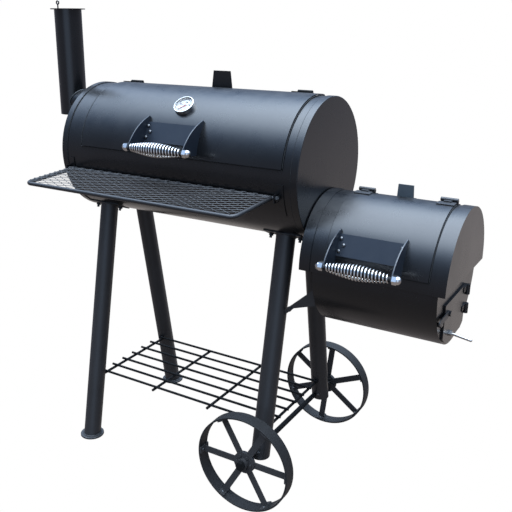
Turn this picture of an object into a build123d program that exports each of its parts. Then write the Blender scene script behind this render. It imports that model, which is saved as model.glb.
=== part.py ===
from build123d import *
import os
from math import acos, cos, degrees, pi, radians, sin, sqrt

os.makedirs("parts", exist_ok=True)

# An offset smoker: a barrel chamber on four splayed legs, with a firebox hung on its right end.
# Millimetres, +Z up, +X towards the firebox, -Y towards the cook.
# Stations along X and depths along Y are measured from the middle of the chamber's axis.

# Sheet metal and general fits
sheet = 2.5
slide_gap = 0.4
pin_gap = 0.06
weld = 0.6

# Cooking chamber
chamber_length = 831.0
chamber_radius = 202.0
chamber_height = 978.5
cap_flange = 20.0
cap_edge_radius = 1.75
ledge_drop = 24.0
ledge_width = 20.0
ledge_thickness = 3.0

# Main lid, with angles measured upwards from the front of the barrel
lid_left = -330.0
lid_right = 368.0
lid_front_angle = 8.3
lid_rear_angle = 102.5
lid_lap = 14.0
lid_gap = 3.0

# Lid hinges and lid stops
hinge_rise = 6.0
hinge_lead_angle = 4.5
knuckle_radius = 5.5
hinge_pin_radius = 2.5
hinge_width = 46.0
hinge_leaf_depth = 26.0
knuckle_length = 20.0
main_hinge_stations = (-318.0, 299.0)
stop_behind_hinge = 13.0
main_stop_left = -33.0
main_stop_right = 44.0
main_stop_taper = 8.0
main_stop_height = 47.0

# Spring handles
fin_thickness = 3.0
main_fin_left = -91.0
main_fin_right = 100.0
main_fin_top_angle = 38.6
main_fin_low_angle = 11.0
main_fin_bulge = 46.0
main_fin_bulge_angle = 23.8
main_grip_angle = 11.8
main_grip_standoff = 63.5
grip_rod_radius = 5.3
grip_wire_radius = 3.0
grip_end_radius = 8.3
grip_middle_radius = 19.0
grip_belly_power = 1.5
grip_turns = 17
grip_nut_radius = 12.5
grip_nut_length = 11.5
fin_tip_radius = 8.5
fin_end_height = 11.0
fin_end_lean = 1.6
handle_plate_angle = 25.6
handle_plate_half_height = 30.0
handle_screw_radius = 4.5
handle_screw_spread = 17.0
handle_screw_step = 10.0
handle_screw_inset = 9.5

# Thermometer on the main lid
dial_station = 12.0
dial_angle = 50.8
bezel_radius = 31.0
bezel_depth = 13.0
bezel_wall = 3.5
bezel_floor = 4.0
bezel_edge_radius = 1.2
dial_thickness = 1.0
glass_thickness = 2.0
glass_level = 9.5
glass_rabbet = 1.5
probe_radius = 5.0
probe_length = 60.0
pointer_length = 21.0
pointer_tail = 6.5
pointer_root_half = 1.4
pointer_tip_half = 0.5
pointer_hub_radius = 3.2
pointer_pin_radius = 1.2
pointer_thickness = 1.0
pointer_rest_angle = 225.0

# Smokestack and damper
stack_station = -551.0
stack_radius = 44.5
stack_base_rise = 91.5
stack_length = 338.0
neck_radius = 39.0
damper_radius = 56.5
damper_thickness = 3.0
damper_pin_angle = 74.0
damper_pin_radius = 4.0
damper_boss_radius = 7.0
damper_boss_length = 28.0
damper_stem_height = 14.0
damper_eye_radius = 5.0
damper_eye_wire = 2.2

# Front shelf
shelf_left = -374.0
shelf_right = 343.0
shelf_front = 399.0
shelf_rear = 208.0
shelf_drop = 48.5
shelf_rise = 10.0
shelf_rod_radius = 6.0
shelf_corner_radius = 20.0
mesh_thickness = 3.0
mesh_long_way = 40.0
mesh_short_way = 20.0
mesh_strand = 5.0
mesh_border = 8.0
shelf_strap_width = 20.0
shelf_strap_low_angle = -30.0
shelf_strap_high_angle = -3.0
shelf_lug_thickness = 3.0
shelf_lug_height = 24.0
shelf_overhang = 20.0
shelf_nut_radius = 8.3
shelf_nut_length = 7.0

# Legs, feet and wire shelf
leg_radius = 28.5
leg_wall = 2.5
leg_left_station = -335.0
leg_right_station = 326.0
leg_foot_depth = 236.5
leg_splay = 0.191
saddle_thickness = 3.0
saddle_half_length = 60.0
saddle_half_arc = 30.0
saddle_bolt_offset = 47.0
saddle_bolt_radius = 4.0
saddle_nut_radius = 7.5
saddle_nut_length = 6.0
saddle_bolt_length = 13.0
foot_radius = 40.0
foot_thickness = 6.0
wire_shelf_height = 207.0
wire_left = -327.0
wire_right = 325.0
wire_radius = 4.0
cross_wire_radius = 4.5
wire_half_depth = 161.5
wire_count = 7
cross_wire_count = 4
wire_stub = 12.0
wire_leg_entry = 12.0

# Axle and spoked wheels
axle_station = 316.0
axle_radius = 8.0
wheel_radius = 150.0
wheel_depth = 286.5
wheel_width = 41.5
rim_thickness = 5.0
spoke_count = 6
front_spoke_angle = 0.5
rear_spoke_angle = 24.0
spoke_width = 20.0
spoke_thickness = 4.0
hub_length = 36.0
hub_radius = 17.0
hub_disc_radius = 34.0
hub_disc_thickness = 3.5
hub_bolt_radius = 4.0
hub_bolt_circle = 24.0
hub_bolt_length = 5.0
collar_radius = 15.0
collar_length = 9.0
axle_nut_radius = 14.0
axle_nut_length = 12.0
axle_side_gap = 0.6
leg_below_axle = 15.0

# Firebox
firebox_gap = 3.5
firebox_length = 398.0
firebox_radius = 182.0
firebox_drop = 237.5
firebox_flange = 31.0
hood_skirt = 4.0
tray_inset_left = 39.0
tray_inset_right = 19.0
tray_top_lap = 15.0
tray_drop = 11.5
throat_half_width = 72.0
throat_sill = 32.5
throat_crown = 35.0
throat_rim = 12.0
coal_grate_drop = 101.0
coal_rod_radius = 3.0
coal_rod_pitch = 24.0

# Firebox lid, its hinges, stop and handle
fire_lid_left = 493.0
fire_lid_right = 772.0
fire_lid_front_angle = 8.5
fire_lid_rear_angle = 92.0
fire_hinge_stations = (521.0, 750.0)
fire_stop_left = 605.0
fire_stop_right = 652.0
fire_stop_taper = 2.0
fire_stop_height = 24.0
fire_stop_behind_hinge = 6.0
fire_fin_left = 521.0
fire_fin_right = 704.5
fire_fin_top_angle = 38.2
fire_fin_low_angle = 10.5
fire_fin_bulge = 44.0
fire_fin_bulge_angle = 25.0
fire_grip_angle = 9.95
fire_grip_standoff = 67.5

# Firebox side door, its hinges, pull and latch, with drops measured below the firebox's axis
door_front = -112.0
door_rear = 86.0
door_low_drop = 175.0
door_high_drop = 51.0
door_depth = 5.0
door_lap = 9.0
door_edge_margin = 5.0
door_hinge_depth = 94.0
door_hinge_out = 8.5
door_knuckle_radius = 6.5
door_knuckle_length = 14.5
door_hinge_drops = (141.0, 85.0)
door_leaf_width = 28.0
door_pull_depth = -45.0
door_pull_drop = 151.0
door_pull_radius = 4.0
door_pull_length = 60.0
door_pull_droop = 9.0
door_pull_nut_radius = 8.0
door_pull_nut_length = 7.0
latch_pivot_depth = -82.0
latch_pivot_drop = 81.0
latch_length = 78.0
latch_half_height = 8.0
latch_thickness = 3.0
latch_pin_radius = 4.0
latch_head_radius = 7.5
latch_head_length = 4.0
keeper_width = 16.0
keeper_height = 6.0

# Struts between the right legs and the firebox, with drops measured below the firebox's axis
strut_thickness = 5.0
strut_leg_low_drop = 196.0
strut_leg_high_drop = 179.0
strut_bend_station = 383.0
strut_bend_drop = 143.5
strut_box_low_drop = 119.0
strut_box_high_drop = 60.0
strut_bolt_radius = 7.5
strut_bolt_length = 6.0
strut_bolt_drop = 148.0

# Cooking grates
grate_rod_radius = 3.0
grate_rod_pitch = 24.0
grate_end_gap = 8.0
grate_middle_gap = 6.0
grate_bearing = 12.0

# Values worked out from the driving dimensions
half_length = chamber_length / 2
cap_radius = chamber_radius + sheet
lid_inner = chamber_radius + lid_gap
lid_outer = lid_inner + sheet
shell_half = half_length - sheet
stack_bottom = chamber_height + stack_base_rise
stack_top = stack_bottom + stack_length
shelf_top = chamber_height - shelf_drop
firebox_height = chamber_height - firebox_drop
firebox_left = half_length + firebox_gap
firebox_right = firebox_left + firebox_length
firebox_cap_radius = firebox_radius + sheet
fire_lid_inner = firebox_radius + lid_gap
fire_lid_outer = fire_lid_inner + sheet
hood_inner = firebox_radius - sheet
hood_bottom = firebox_height - hood_skirt
tray_left = firebox_left + tray_inset_left
tray_right = firebox_right - tray_inset_right
tray_radius = hood_inner
tray_axis = firebox_height - tray_drop
tray_top = hood_bottom + tray_top_lap
throat_low = chamber_height - chamber_radius + throat_sill
throat_high = firebox_height + firebox_radius - throat_crown
coal_grate_height = firebox_height - coal_grate_drop
door_low = firebox_height - door_low_drop
door_high = firebox_height - door_high_drop
door_hinge_levels = [firebox_height - drop for drop in door_hinge_drops]
door_pull_level = firebox_height - door_pull_drop
latch_pivot_level = firebox_height - latch_pivot_drop
strut_leg_low = firebox_height - strut_leg_low_drop
strut_leg_high = firebox_height - strut_leg_high_drop
strut_bend = firebox_height - strut_bend_drop
strut_box_low = firebox_height - strut_box_low_drop
strut_box_high = firebox_height - strut_box_high_drop
strut_bolt_level = firebox_height - strut_bolt_drop
door_face = tray_right + slide_gap + door_depth
pull_tip = door_face + door_pull_length
axle_end = wheel_depth + hub_length / 2 + axle_side_gap + axle_nut_length

# The origin is on the floor, under the middle of the whole outline
outline_left = stack_station - damper_radius
outline_right = pull_tip
outline_front = -(shelf_front + shelf_rod_radius)
outline_rear = axle_end
mid_x = -(outline_left + outline_right) / 2
mid_y = -(outline_front + outline_rear) / 2


def side(x, z=0.0):
    """Plane across the barrel at station x: local x is +Y, local y is +Z, normal +X."""
    return Plane(origin=(mid_x + x, mid_y, z), x_dir=(0, 1, 0), z_dir=(1, 0, 0))


def level(z):
    """Horizontal plane at height z: local x is +X, local y is +Y."""
    return Plane(origin=(mid_x, mid_y, z), x_dir=(1, 0, 0), z_dir=(0, 0, 1))


def upright(y):
    """Vertical plane along the barrel at depth y: local x is +X, local y is +Z, normal -Y."""
    return Plane(origin=(mid_x, mid_y + y, 0), x_dir=(1, 0, 0), z_dir=(0, -1, 0))


def polar(radius, angle):
    """Point on a barrel section, with the angle measured upwards from its front."""
    return (-radius * cos(radians(angle)), radius * sin(radians(angle)))


def ring_sector(inner, outer, start, end):
    """Face between two radii and two angles of a barrel section."""
    middle = (start + end) / 2
    with BuildLine() as outline:
        ThreePointArc(polar(outer, start), polar(outer, middle), polar(outer, end))
        Line(polar(outer, end), polar(inner, end))
        ThreePointArc(polar(inner, end), polar(inner, middle), polar(inner, start))
        Line(polar(inner, start), polar(outer, start))
    make_face(outline.edges())


def write(piece, name):
    """Label a finished piece and save it under its node's name."""
    piece.part.label = name
    export_step(piece.part, f"parts/{name}.step")


def arc_angle(length, radius):
    """Angle in degrees that an arc length takes on a radius."""
    return degrees(length / radius)


# Chamber shell, with the opening under the lid and two inner ledges for the grates
opening_front = lid_front_angle + arc_angle(lid_lap, chamber_radius)
opening_rear = lid_rear_angle - arc_angle(lid_lap, chamber_radius)
ledge_wall = sqrt((chamber_radius - sheet / 2) ** 2 - ledge_drop**2)
ledge_inner = sqrt((chamber_radius - sheet) ** 2 - ledge_drop**2) - ledge_width

with BuildPart() as chamber_shell:
    with BuildSketch(side(-shell_half, chamber_height)):
        Circle(chamber_radius)
        Circle(chamber_radius - sheet, mode=Mode.SUBTRACT)
    extrude(amount=2 * shell_half)
    with BuildSketch(side(lid_left + lid_lap, chamber_height)):
        ring_sector(chamber_radius - 2 * sheet, chamber_radius + sheet, opening_front, opening_rear)
    extrude(amount=lid_right - lid_left - 2 * lid_lap, mode=Mode.SUBTRACT)
    for hand in (-1, 1):
        with BuildSketch(side(-shell_half, chamber_height)):
            with Locations((hand * (ledge_wall + ledge_inner) / 2, -ledge_drop - ledge_thickness / 2)):
                Rectangle(ledge_wall - ledge_inner, ledge_thickness)
        extrude(amount=2 * shell_half)
write(chamber_shell, "chamber_shell")

# End caps: a disc with a flange lapped over the shell
neck_level = stack_bottom + sheet + neck_radius

with BuildPart() as left_end_cap:
    with BuildSketch(side(-half_length, chamber_height)):
        Circle(cap_radius)
    extrude(amount=sheet)
    with BuildSketch(side(-half_length, chamber_height)):
        Circle(cap_radius)
        Circle(chamber_radius, mode=Mode.SUBTRACT)
    extrude(amount=cap_flange)
    with BuildSketch(side(-half_length, neck_level)):
        Circle(neck_radius - sheet)
    extrude(amount=sheet, mode=Mode.SUBTRACT)
    outer_edge = left_end_cap.faces().sort_by(Axis.X)[0].outer_wire().edges()
    fillet(outer_edge, radius=min(cap_edge_radius, 0.8 * sheet))
write(left_end_cap, "left_end_cap")

with BuildPart() as right_end_cap:
    with BuildSketch(side(half_length - sheet, chamber_height)):
        Circle(cap_radius)
    extrude(amount=sheet)
    with BuildSketch(side(half_length - cap_flange, chamber_height)):
        Circle(cap_radius)
        Circle(chamber_radius, mode=Mode.SUBTRACT)
    extrude(amount=cap_flange)
    with BuildSketch(side(half_length - sheet, (throat_low + throat_high) / 2)):
        Rectangle(2 * throat_half_width, throat_high - throat_low)
    extrude(amount=sheet, mode=Mode.SUBTRACT)
    outer_edge = right_end_cap.faces().sort_by(Axis.X)[-1].outer_wire().edges()
    fillet(outer_edge, radius=min(cap_edge_radius, 0.8 * sheet))
write(right_end_cap, "right_end_cap")


def wire_grate(name, start, end, half_depth, rest, radius, pitch):
    """Runners along X at the given rest height, with rods across Y welded on top of them."""
    rod_count = int((end - start - 2 * radius) / pitch) + 1
    rod_step = (end - start - 2 * radius) / (rod_count - 1)
    with BuildPart() as grate:
        with BuildSketch(side(start, rest + radius)):
            with GridLocations(half_depth - radius, 1, 3, 1):
                Circle(radius)
        extrude(amount=end - start)
        with BuildSketch(upright(half_depth)):
            with Locations(((start + end) / 2, rest + 3 * radius - weld)):
                with GridLocations(rod_step, 1, rod_count, 1):
                    Circle(radius)
        extrude(amount=2 * half_depth)
    write(grate, name)


# Two cooking grates side by side on the ledges
grate_rest = chamber_height - ledge_drop
grate_half_depth = ledge_inner + grate_bearing
grate_outer = shell_half - grate_end_gap
wire_grate("cooking_grate_left", -grate_outer, -grate_middle_gap / 2, grate_half_depth, grate_rest,
           grate_rod_radius, grate_rod_pitch)
wire_grate("cooking_grate_right", grate_middle_gap / 2, grate_outer, grate_half_depth, grate_rest,
           grate_rod_radius, grate_rod_pitch)

# Main lid: a rolled sheet that laps the opening from outside
with BuildPart() as main_lid:
    with BuildSketch(side(lid_left, chamber_height)):
        ring_sector(lid_inner, lid_outer, lid_front_angle, lid_rear_angle)
    extrude(amount=lid_right - lid_left)
    dial_side = polar(lid_outer, dial_angle)
    dial_plane = Plane(
        origin=(mid_x + dial_station, mid_y + dial_side[0], chamber_height + dial_side[1]),
        x_dir=(1, 0, 0),
        z_dir=(0, *polar(1, dial_angle)),
    )
    with BuildSketch(dial_plane.offset(-2 * sheet)):
        Circle(probe_radius)
    extrude(amount=3 * sheet, mode=Mode.SUBTRACT)
write(main_lid, "main_lid")

# Firebox lid, made the same way
with BuildPart() as firebox_lid:
    with BuildSketch(side(fire_lid_left, firebox_height)):
        ring_sector(fire_lid_inner, fire_lid_outer, fire_lid_front_angle, fire_lid_rear_angle)
    extrude(amount=fire_lid_right - fire_lid_left)
write(firebox_lid, "firebox_lid")


def lid_hinge(fixed_name, moving_name, station, height, shell, lid_top, lid_edge):
    """Butt hinge: the fixed leaf carries two knuckles and the pin, the lid's leaf one knuckle."""
    axis_radius = lid_top + hinge_rise
    axis_angle = lid_edge + hinge_lead_angle
    axis_point = polar(axis_radius, axis_angle)
    leaf_angle = arc_angle(hinge_leaf_depth, shell)
    knuckle_angle = arc_angle(knuckle_radius, shell)
    half_width = hinge_width / 2
    half_knuckle = knuckle_length / 2
    with BuildPart() as fixed_leaf:
        with BuildSketch(side(station - half_width, height)):
            ring_sector(shell, shell + sheet, axis_angle + knuckle_angle / 2, axis_angle + leaf_angle)
        extrude(amount=hinge_width)
        for start in (-half_width, half_knuckle + slide_gap):
            with BuildSketch(side(station + start, height)):
                ring_sector(shell, axis_radius, axis_angle, axis_angle + 1.5 * knuckle_angle)
                with Locations(axis_point):
                    Circle(knuckle_radius)
            extrude(amount=half_width - half_knuckle - slide_gap)
        with BuildSketch(side(station - half_width, height)):
            with Locations(axis_point):
                Circle(hinge_pin_radius)
        extrude(amount=hinge_width)
    write(fixed_leaf, fixed_name)
    with BuildPart() as moving_leaf:
        with BuildSketch(side(station - half_width, height)):
            ring_sector(lid_top, lid_top + sheet, lid_edge - leaf_angle, lid_edge)
        extrude(amount=hinge_width)
        with BuildSketch(side(station - half_knuckle, height)):
            ring_sector(lid_top, lid_top + knuckle_radius, lid_edge - knuckle_angle, axis_angle)
            with Locations(axis_point):
                Circle(knuckle_radius)
                Circle(hinge_pin_radius + pin_gap, mode=Mode.SUBTRACT)
        extrude(amount=knuckle_length)
    write(moving_leaf, moving_name)


for hand, station in zip(("left", "right"), main_hinge_stations):
    lid_hinge(f"lid_hinge_leaf_{hand}", f"lid_hinge_flap_{hand}", station, chamber_height,
              chamber_radius, lid_outer, lid_rear_angle)
for hand, station in zip(("left", "right"), fire_hinge_stations):
    lid_hinge(f"fire_hinge_leaf_{hand}", f"fire_hinge_flap_{hand}", station, firebox_height,
              firebox_radius, fire_lid_outer, fire_lid_rear_angle)


def lid_stop(name, left, right, taper, rise, height, shell, hinge_point, behind):
    """Upright strap behind the hinge line that the opened lid leans on, with a foot on the shell."""
    depth = hinge_point[0] + behind
    foot_angle = 180 - degrees(acos(depth / shell))
    low = height + sqrt(shell**2 - (depth + sheet) ** 2)
    high = height + hinge_point[1] + rise
    with BuildPart() as strap:
        with BuildSketch(upright(depth + sheet)):
            with BuildLine():
                Polyline((left, low), (right, low), (right - taper, high), (left + taper, high), close=True)
            make_face()
        extrude(amount=sheet)
        with BuildSketch(side(left, height)):
            ring_sector(shell, shell + sheet, foot_angle, foot_angle + arc_angle(hinge_leaf_depth, shell))
        extrude(amount=right - left)
        with BuildSketch(side(left, height)):
            Circle(shell)
        extrude(amount=right - left, mode=Mode.SUBTRACT)
    write(strap, name)


main_hinge_point = polar(lid_outer + hinge_rise, lid_rear_angle + hinge_lead_angle)
fire_hinge_point = polar(fire_lid_outer + hinge_rise, fire_lid_rear_angle + hinge_lead_angle)
lid_stop("lid_stop", main_stop_left, main_stop_right, main_stop_taper, main_stop_height,
         chamber_height, chamber_radius, main_hinge_point, stop_behind_hinge)
lid_stop("firebox_stop", fire_stop_left, fire_stop_right, fire_stop_taper, fire_stop_height,
         firebox_height, firebox_radius, fire_hinge_point, fire_stop_behind_hinge)


def spring_handle(prefix, left, right, height, lid_top, grip_point, bulge, fin_top, fin_low):
    """Bent bracket with two curved fins, a rod with cap nuts across them, and a barrel-shaped coil."""
    tip = fin_tip_radius
    plate_point = polar(lid_top + slide_gap, handle_plate_angle)
    plate_plane = Plane(
        origin=(mid_x + left, mid_y + plate_point[0], height + plate_point[1]),
        x_dir=(1, 0, 0),
        z_dir=(0, *polar(1, handle_plate_angle)),
    )
    fin_end = polar(lid_top + fin_end_height, fin_top - fin_end_lean)
    fin_corner = polar(
        lid_top + fin_end_height * (1 + sin(pi / 4)) / 2,
        fin_top - fin_end_lean * (1 - cos(pi / 4)),
    )
    span = right - left
    with BuildPart() as bracket:
        with BuildSketch(plate_plane):
            with Locations((span / 2, 0)):
                Rectangle(span, 2 * handle_plate_half_height)
        extrude(amount=sheet)
        for start in (left, right - fin_thickness):
            with BuildSketch(side(start, height)):
                with BuildLine():
                    Line(polar(lid_top, fin_top), polar(lid_top + fin_end_height / 2, fin_top))
                    ThreePointArc(polar(lid_top + fin_end_height / 2, fin_top), fin_corner, fin_end)
                    ThreePointArc(fin_end, bulge, (grip_point[0] - tip, grip_point[1]))
                    ThreePointArc(
                        (grip_point[0] - tip, grip_point[1]),
                        (grip_point[0] - tip * cos(pi / 4), grip_point[1] - tip * sin(pi / 4)),
                        (grip_point[0], grip_point[1] - tip),
                    )
                    Line((grip_point[0], grip_point[1] - tip), polar(lid_top, fin_low))
                    ThreePointArc(polar(lid_top, fin_low), polar(lid_top, handle_plate_angle),
                                  polar(lid_top, fin_top))
                make_face()
            extrude(amount=fin_thickness)
        with BuildSketch(side(left, height)):
            with Locations(grip_point):
                Circle(grip_rod_radius)
        extrude(amount=span, mode=Mode.SUBTRACT)
        with BuildSketch(plate_plane.offset(sheet)):
            for end, step in ((handle_screw_inset, handle_screw_step), (span - handle_screw_inset, 0)):
                with Locations((end, handle_screw_spread), (end, -handle_screw_spread), (end + step, 0)):
                    Circle(handle_screw_radius)
        extrude(amount=sheet)
    write(bracket, f"{prefix}_handle_bracket")

    with BuildPart() as rod:
        with BuildSketch(side(left - grip_nut_length, height)):
            with Locations(grip_point):
                Circle(grip_rod_radius)
        extrude(amount=span + 2 * grip_nut_length)
        for start in (left - grip_nut_length, right):
            with BuildSketch(side(start, height)):
                with Locations(grip_point):
                    RegularPolygon(grip_nut_radius, 6)
            extrude(amount=grip_nut_length)
        dome = grip_nut_radius * cos(pi / 6)
        for end in (left - grip_nut_length, right + grip_nut_length):
            with Locations((mid_x + end, mid_y + grip_point[0], height + grip_point[1])):
                Sphere(dome)
    write(rod, f"{prefix}_handle_rod")

    # The coil's outline is one arc per turn, fattest at the middle of the grip
    coil_start = left + fin_thickness
    coil_length = span - 2 * fin_thickness
    turn = coil_length / grip_turns
    coil_plane = Plane(
        origin=(mid_x + coil_start, mid_y + grip_point[0], height + grip_point[1]),
        x_dir=(1, 0, 0),
        z_dir=(0, -1, 0),
    )

    def coil_radius(share):
        swell = 1 - abs(2 * share - 1) ** grip_belly_power
        return grip_end_radius + (grip_middle_radius - grip_end_radius) * swell

    with BuildPart() as coil:
        with BuildSketch(coil_plane):
            with BuildLine():
                for number in range(grip_turns):
                    ThreePointArc(
                        (number * turn, coil_radius(number / grip_turns)),
                        ((number + 0.5) * turn, coil_radius((number + 0.5) / grip_turns) + grip_wire_radius),
                        ((number + 1) * turn, coil_radius((number + 1) / grip_turns)),
                    )
                Polyline((coil_length, grip_end_radius), (coil_length, grip_rod_radius),
                         (0, grip_rod_radius), (0, grip_end_radius))
            make_face()
        revolve(axis=Axis(coil_plane.origin, (1, 0, 0)), revolution_arc=360)
    write(coil, f"{prefix}_handle_coil")


spring_handle("main", main_fin_left, main_fin_right, chamber_height, lid_outer,
              polar(lid_outer + main_grip_standoff, main_grip_angle),
              polar(lid_outer + main_fin_bulge, main_fin_bulge_angle),
              main_fin_top_angle, main_fin_low_angle)
spring_handle("fire", fire_fin_left, fire_fin_right, firebox_height, fire_lid_outer,
              polar(fire_lid_outer + fire_grip_standoff, fire_grip_angle),
              polar(fire_lid_outer + fire_fin_bulge, fire_fin_bulge_angle),
              fire_fin_top_angle, fire_fin_low_angle)

# Thermometer: cup with a probe, printed dial, pointer on the dial's pin, glass in a rabbet
bezel_bore = bezel_radius - bezel_wall
glass_radius = bezel_bore + glass_rabbet

with BuildPart() as thermometer_case:
    with BuildSketch(dial_plane):
        Circle(bezel_radius)
    extrude(amount=bezel_depth)
    with BuildSketch(dial_plane.offset(bezel_floor)):
        Circle(bezel_bore)
    extrude(amount=bezel_depth, mode=Mode.SUBTRACT)
    with BuildSketch(dial_plane.offset(glass_level)):
        Circle(glass_radius)
    extrude(amount=bezel_depth, mode=Mode.SUBTRACT)
    with BuildSketch(dial_plane.offset(-probe_length)):
        Circle(probe_radius)
    extrude(amount=probe_length)
    bezel_face = thermometer_case.faces().sort_by(Axis(dial_plane.origin, dial_plane.z_dir))[-1]
    fillet(bezel_face.outer_wire().edges(), radius=bezel_edge_radius)
write(thermometer_case, "thermometer_case")

pointer_level = bezel_floor + dial_thickness + slide_gap

with BuildPart() as thermometer_dial:
    with BuildSketch(dial_plane.offset(bezel_floor)):
        Circle(bezel_bore)
    extrude(amount=dial_thickness)
    with BuildSketch(dial_plane.offset(bezel_floor)):
        Circle(pointer_pin_radius)
    extrude(amount=dial_thickness + slide_gap + 2 * pointer_thickness)
write(thermometer_dial, "thermometer_dial")

pointer_turn = radians(pointer_rest_angle)
pointer_plane = Plane(
    origin=dial_plane.origin,
    x_dir=dial_plane.x_dir * cos(pointer_turn) + dial_plane.y_dir * sin(pointer_turn),
    z_dir=dial_plane.z_dir,
)

with BuildPart() as thermometer_pointer:
    with BuildSketch(pointer_plane.offset(pointer_level)):
        with BuildLine():
            Polyline((-pointer_tail, pointer_root_half), (pointer_length, pointer_tip_half),
                     (pointer_length, -pointer_tip_half), (-pointer_tail, -pointer_root_half), close=True)
        make_face()
        Circle(pointer_hub_radius)
        Circle(pointer_pin_radius + pin_gap, mode=Mode.SUBTRACT)
    extrude(amount=pointer_thickness)
write(thermometer_pointer, "thermometer_pointer")

with BuildPart() as thermometer_glass:
    with BuildSketch(dial_plane.offset(glass_level)):
        Circle(glass_radius)
    extrude(amount=glass_thickness)
write(thermometer_glass, "thermometer_glass")

# Smokestack: closed at the bottom, with a boss inside its mouth for the damper's pin
boss_offset = stack_radius - sheet - damper_boss_radius + weld
boss_point = polar(boss_offset, damper_pin_angle)
pin_x = stack_station + boss_point[0]
pin_y = -boss_point[1]

with BuildPart() as smokestack:
    with BuildSketch(level(stack_bottom)):
        with Locations((stack_station, 0)):
            Circle(stack_radius)
    extrude(amount=stack_top - stack_bottom)
    with BuildSketch(level(stack_bottom + sheet)):
        with Locations((stack_station, 0)):
            Circle(stack_radius - sheet)
    extrude(amount=stack_top - stack_bottom, mode=Mode.SUBTRACT)
    with BuildSketch(level(stack_top - damper_boss_length)):
        with Locations((pin_x, pin_y)):
            Circle(damper_boss_radius)
    extrude(amount=damper_boss_length)
    with BuildSketch(level(stack_top - damper_boss_length)):
        with Locations((pin_x, pin_y)):
            Circle(damper_pin_radius + pin_gap)
    extrude(amount=damper_boss_length, mode=Mode.SUBTRACT)
    with BuildSketch(side(stack_station, neck_level)):
        Circle(neck_radius - sheet)
    extrude(amount=2 * stack_radius, mode=Mode.SUBTRACT)
write(smokestack, "smokestack")

with BuildPart() as stack_neck:
    with BuildSketch(side(stack_station, neck_level)):
        Circle(neck_radius)
        Circle(neck_radius - sheet, mode=Mode.SUBTRACT)
    extrude(amount=-half_length - stack_station)
    with BuildSketch(level(stack_bottom)):
        with Locations((stack_station, 0)):
            Circle(stack_radius)
    extrude(amount=stack_top - stack_bottom, mode=Mode.SUBTRACT)
write(stack_neck, "stack_neck")

# Damper plate, which swivels on its pin and is turned by the eye on top
damper_level = stack_top + slide_gap

with BuildPart() as stack_damper:
    with BuildSketch(level(damper_level)):
        with Locations((stack_station, 0)):
            Circle(damper_radius)
    extrude(amount=damper_thickness)
    with BuildSketch(level(stack_top - damper_boss_length)):
        with Locations((pin_x, pin_y)):
            Circle(damper_pin_radius)
    extrude(amount=damper_boss_length + slide_gap + damper_thickness)
    with BuildSketch(level(damper_level)):
        with Locations((pin_x, pin_y)):
            Circle(damper_eye_wire)
    extrude(amount=damper_thickness + damper_stem_height)
    eye_level = damper_level + damper_thickness + damper_stem_height + damper_eye_radius - damper_eye_wire / 2
    with Locations(Plane(origin=(mid_x + pin_x, mid_y + pin_y, eye_level), z_dir=(0, 1, 0))):
        Torus(damper_eye_radius, damper_eye_wire)
write(stack_damper, "stack_damper")

# Front shelf: a bent rod frame with a rear rod, bolted through a lug at each end
rod_level = shelf_top - mesh_thickness - shelf_rod_radius
rear_rod_level = rod_level + shelf_rise
lug_inner = shelf_rod_radius + (shelf_overhang - shelf_rod_radius) / 2 - shelf_lug_thickness / 2
lug_left = shelf_left - lug_inner - shelf_lug_thickness
lug_right = shelf_right + lug_inner

with BuildPart() as shelf_frame:
    with BuildLine() as shelf_path:
        FilletPolyline(
            (mid_x + shelf_left, mid_y - shelf_rear, rear_rod_level),
            (mid_x + shelf_left, mid_y - shelf_front, rod_level),
            (mid_x + shelf_right, mid_y - shelf_front, rod_level),
            (mid_x + shelf_right, mid_y - shelf_rear, rear_rod_level),
            radius=shelf_corner_radius,
        )
    with BuildSketch(Plane(origin=shelf_path.line @ 0, z_dir=shelf_path.line % 0)):
        Circle(shelf_rod_radius)
    sweep()
    with BuildSketch(side(shelf_left - shelf_overhang, rear_rod_level)):
        with Locations((-shelf_rear, 0)):
            Circle(shelf_rod_radius)
    extrude(amount=shelf_right - shelf_left + 2 * shelf_overhang)
    for start in (lug_left - shelf_nut_length, lug_right + shelf_lug_thickness):
        with BuildSketch(side(start, rear_rod_level)):
            with Locations((-shelf_rear, 0)):
                RegularPolygon(shelf_nut_radius, 6)
        extrude(amount=shelf_nut_length)
write(shelf_frame, "shelf_frame")

# Expanded mesh that lies on the shelf's rods, which rise a little towards the barrel
mesh_length = shelf_right - shelf_left
mesh_width = sqrt((shelf_front - shelf_rear) ** 2 + shelf_rise**2)
mesh_plane = Plane(
    origin=(mid_x + (shelf_left + shelf_right) / 2, mid_y - (shelf_front + shelf_rear) / 2,
            rod_level + shelf_rise / 2),
    x_dir=(1, 0, 0),
    z_dir=(0, -shelf_rise, shelf_front - shelf_rear),
)
mesh_columns = int((mesh_length - 2 * mesh_border) / mesh_long_way)
mesh_rows = int((mesh_width - 2 * mesh_border) / mesh_short_way)
hole_long = mesh_long_way / 2 - mesh_strand
hole_short = mesh_short_way / 2 - mesh_strand / 2

with BuildPart() as shelf_mesh:
    with BuildSketch(mesh_plane.offset(shelf_rod_radius)):
        Rectangle(mesh_length, mesh_width)
        for columns, rows in ((mesh_columns, mesh_rows), (mesh_columns - 1, mesh_rows - 1)):
            with GridLocations(mesh_long_way, mesh_short_way, columns, rows):
                Polygon((-hole_long, 0), (0, -hole_short), (hole_long, 0), (0, hole_short),
                        mode=Mode.SUBTRACT)
    extrude(amount=mesh_thickness)
write(shelf_mesh, "shelf_mesh")


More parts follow.
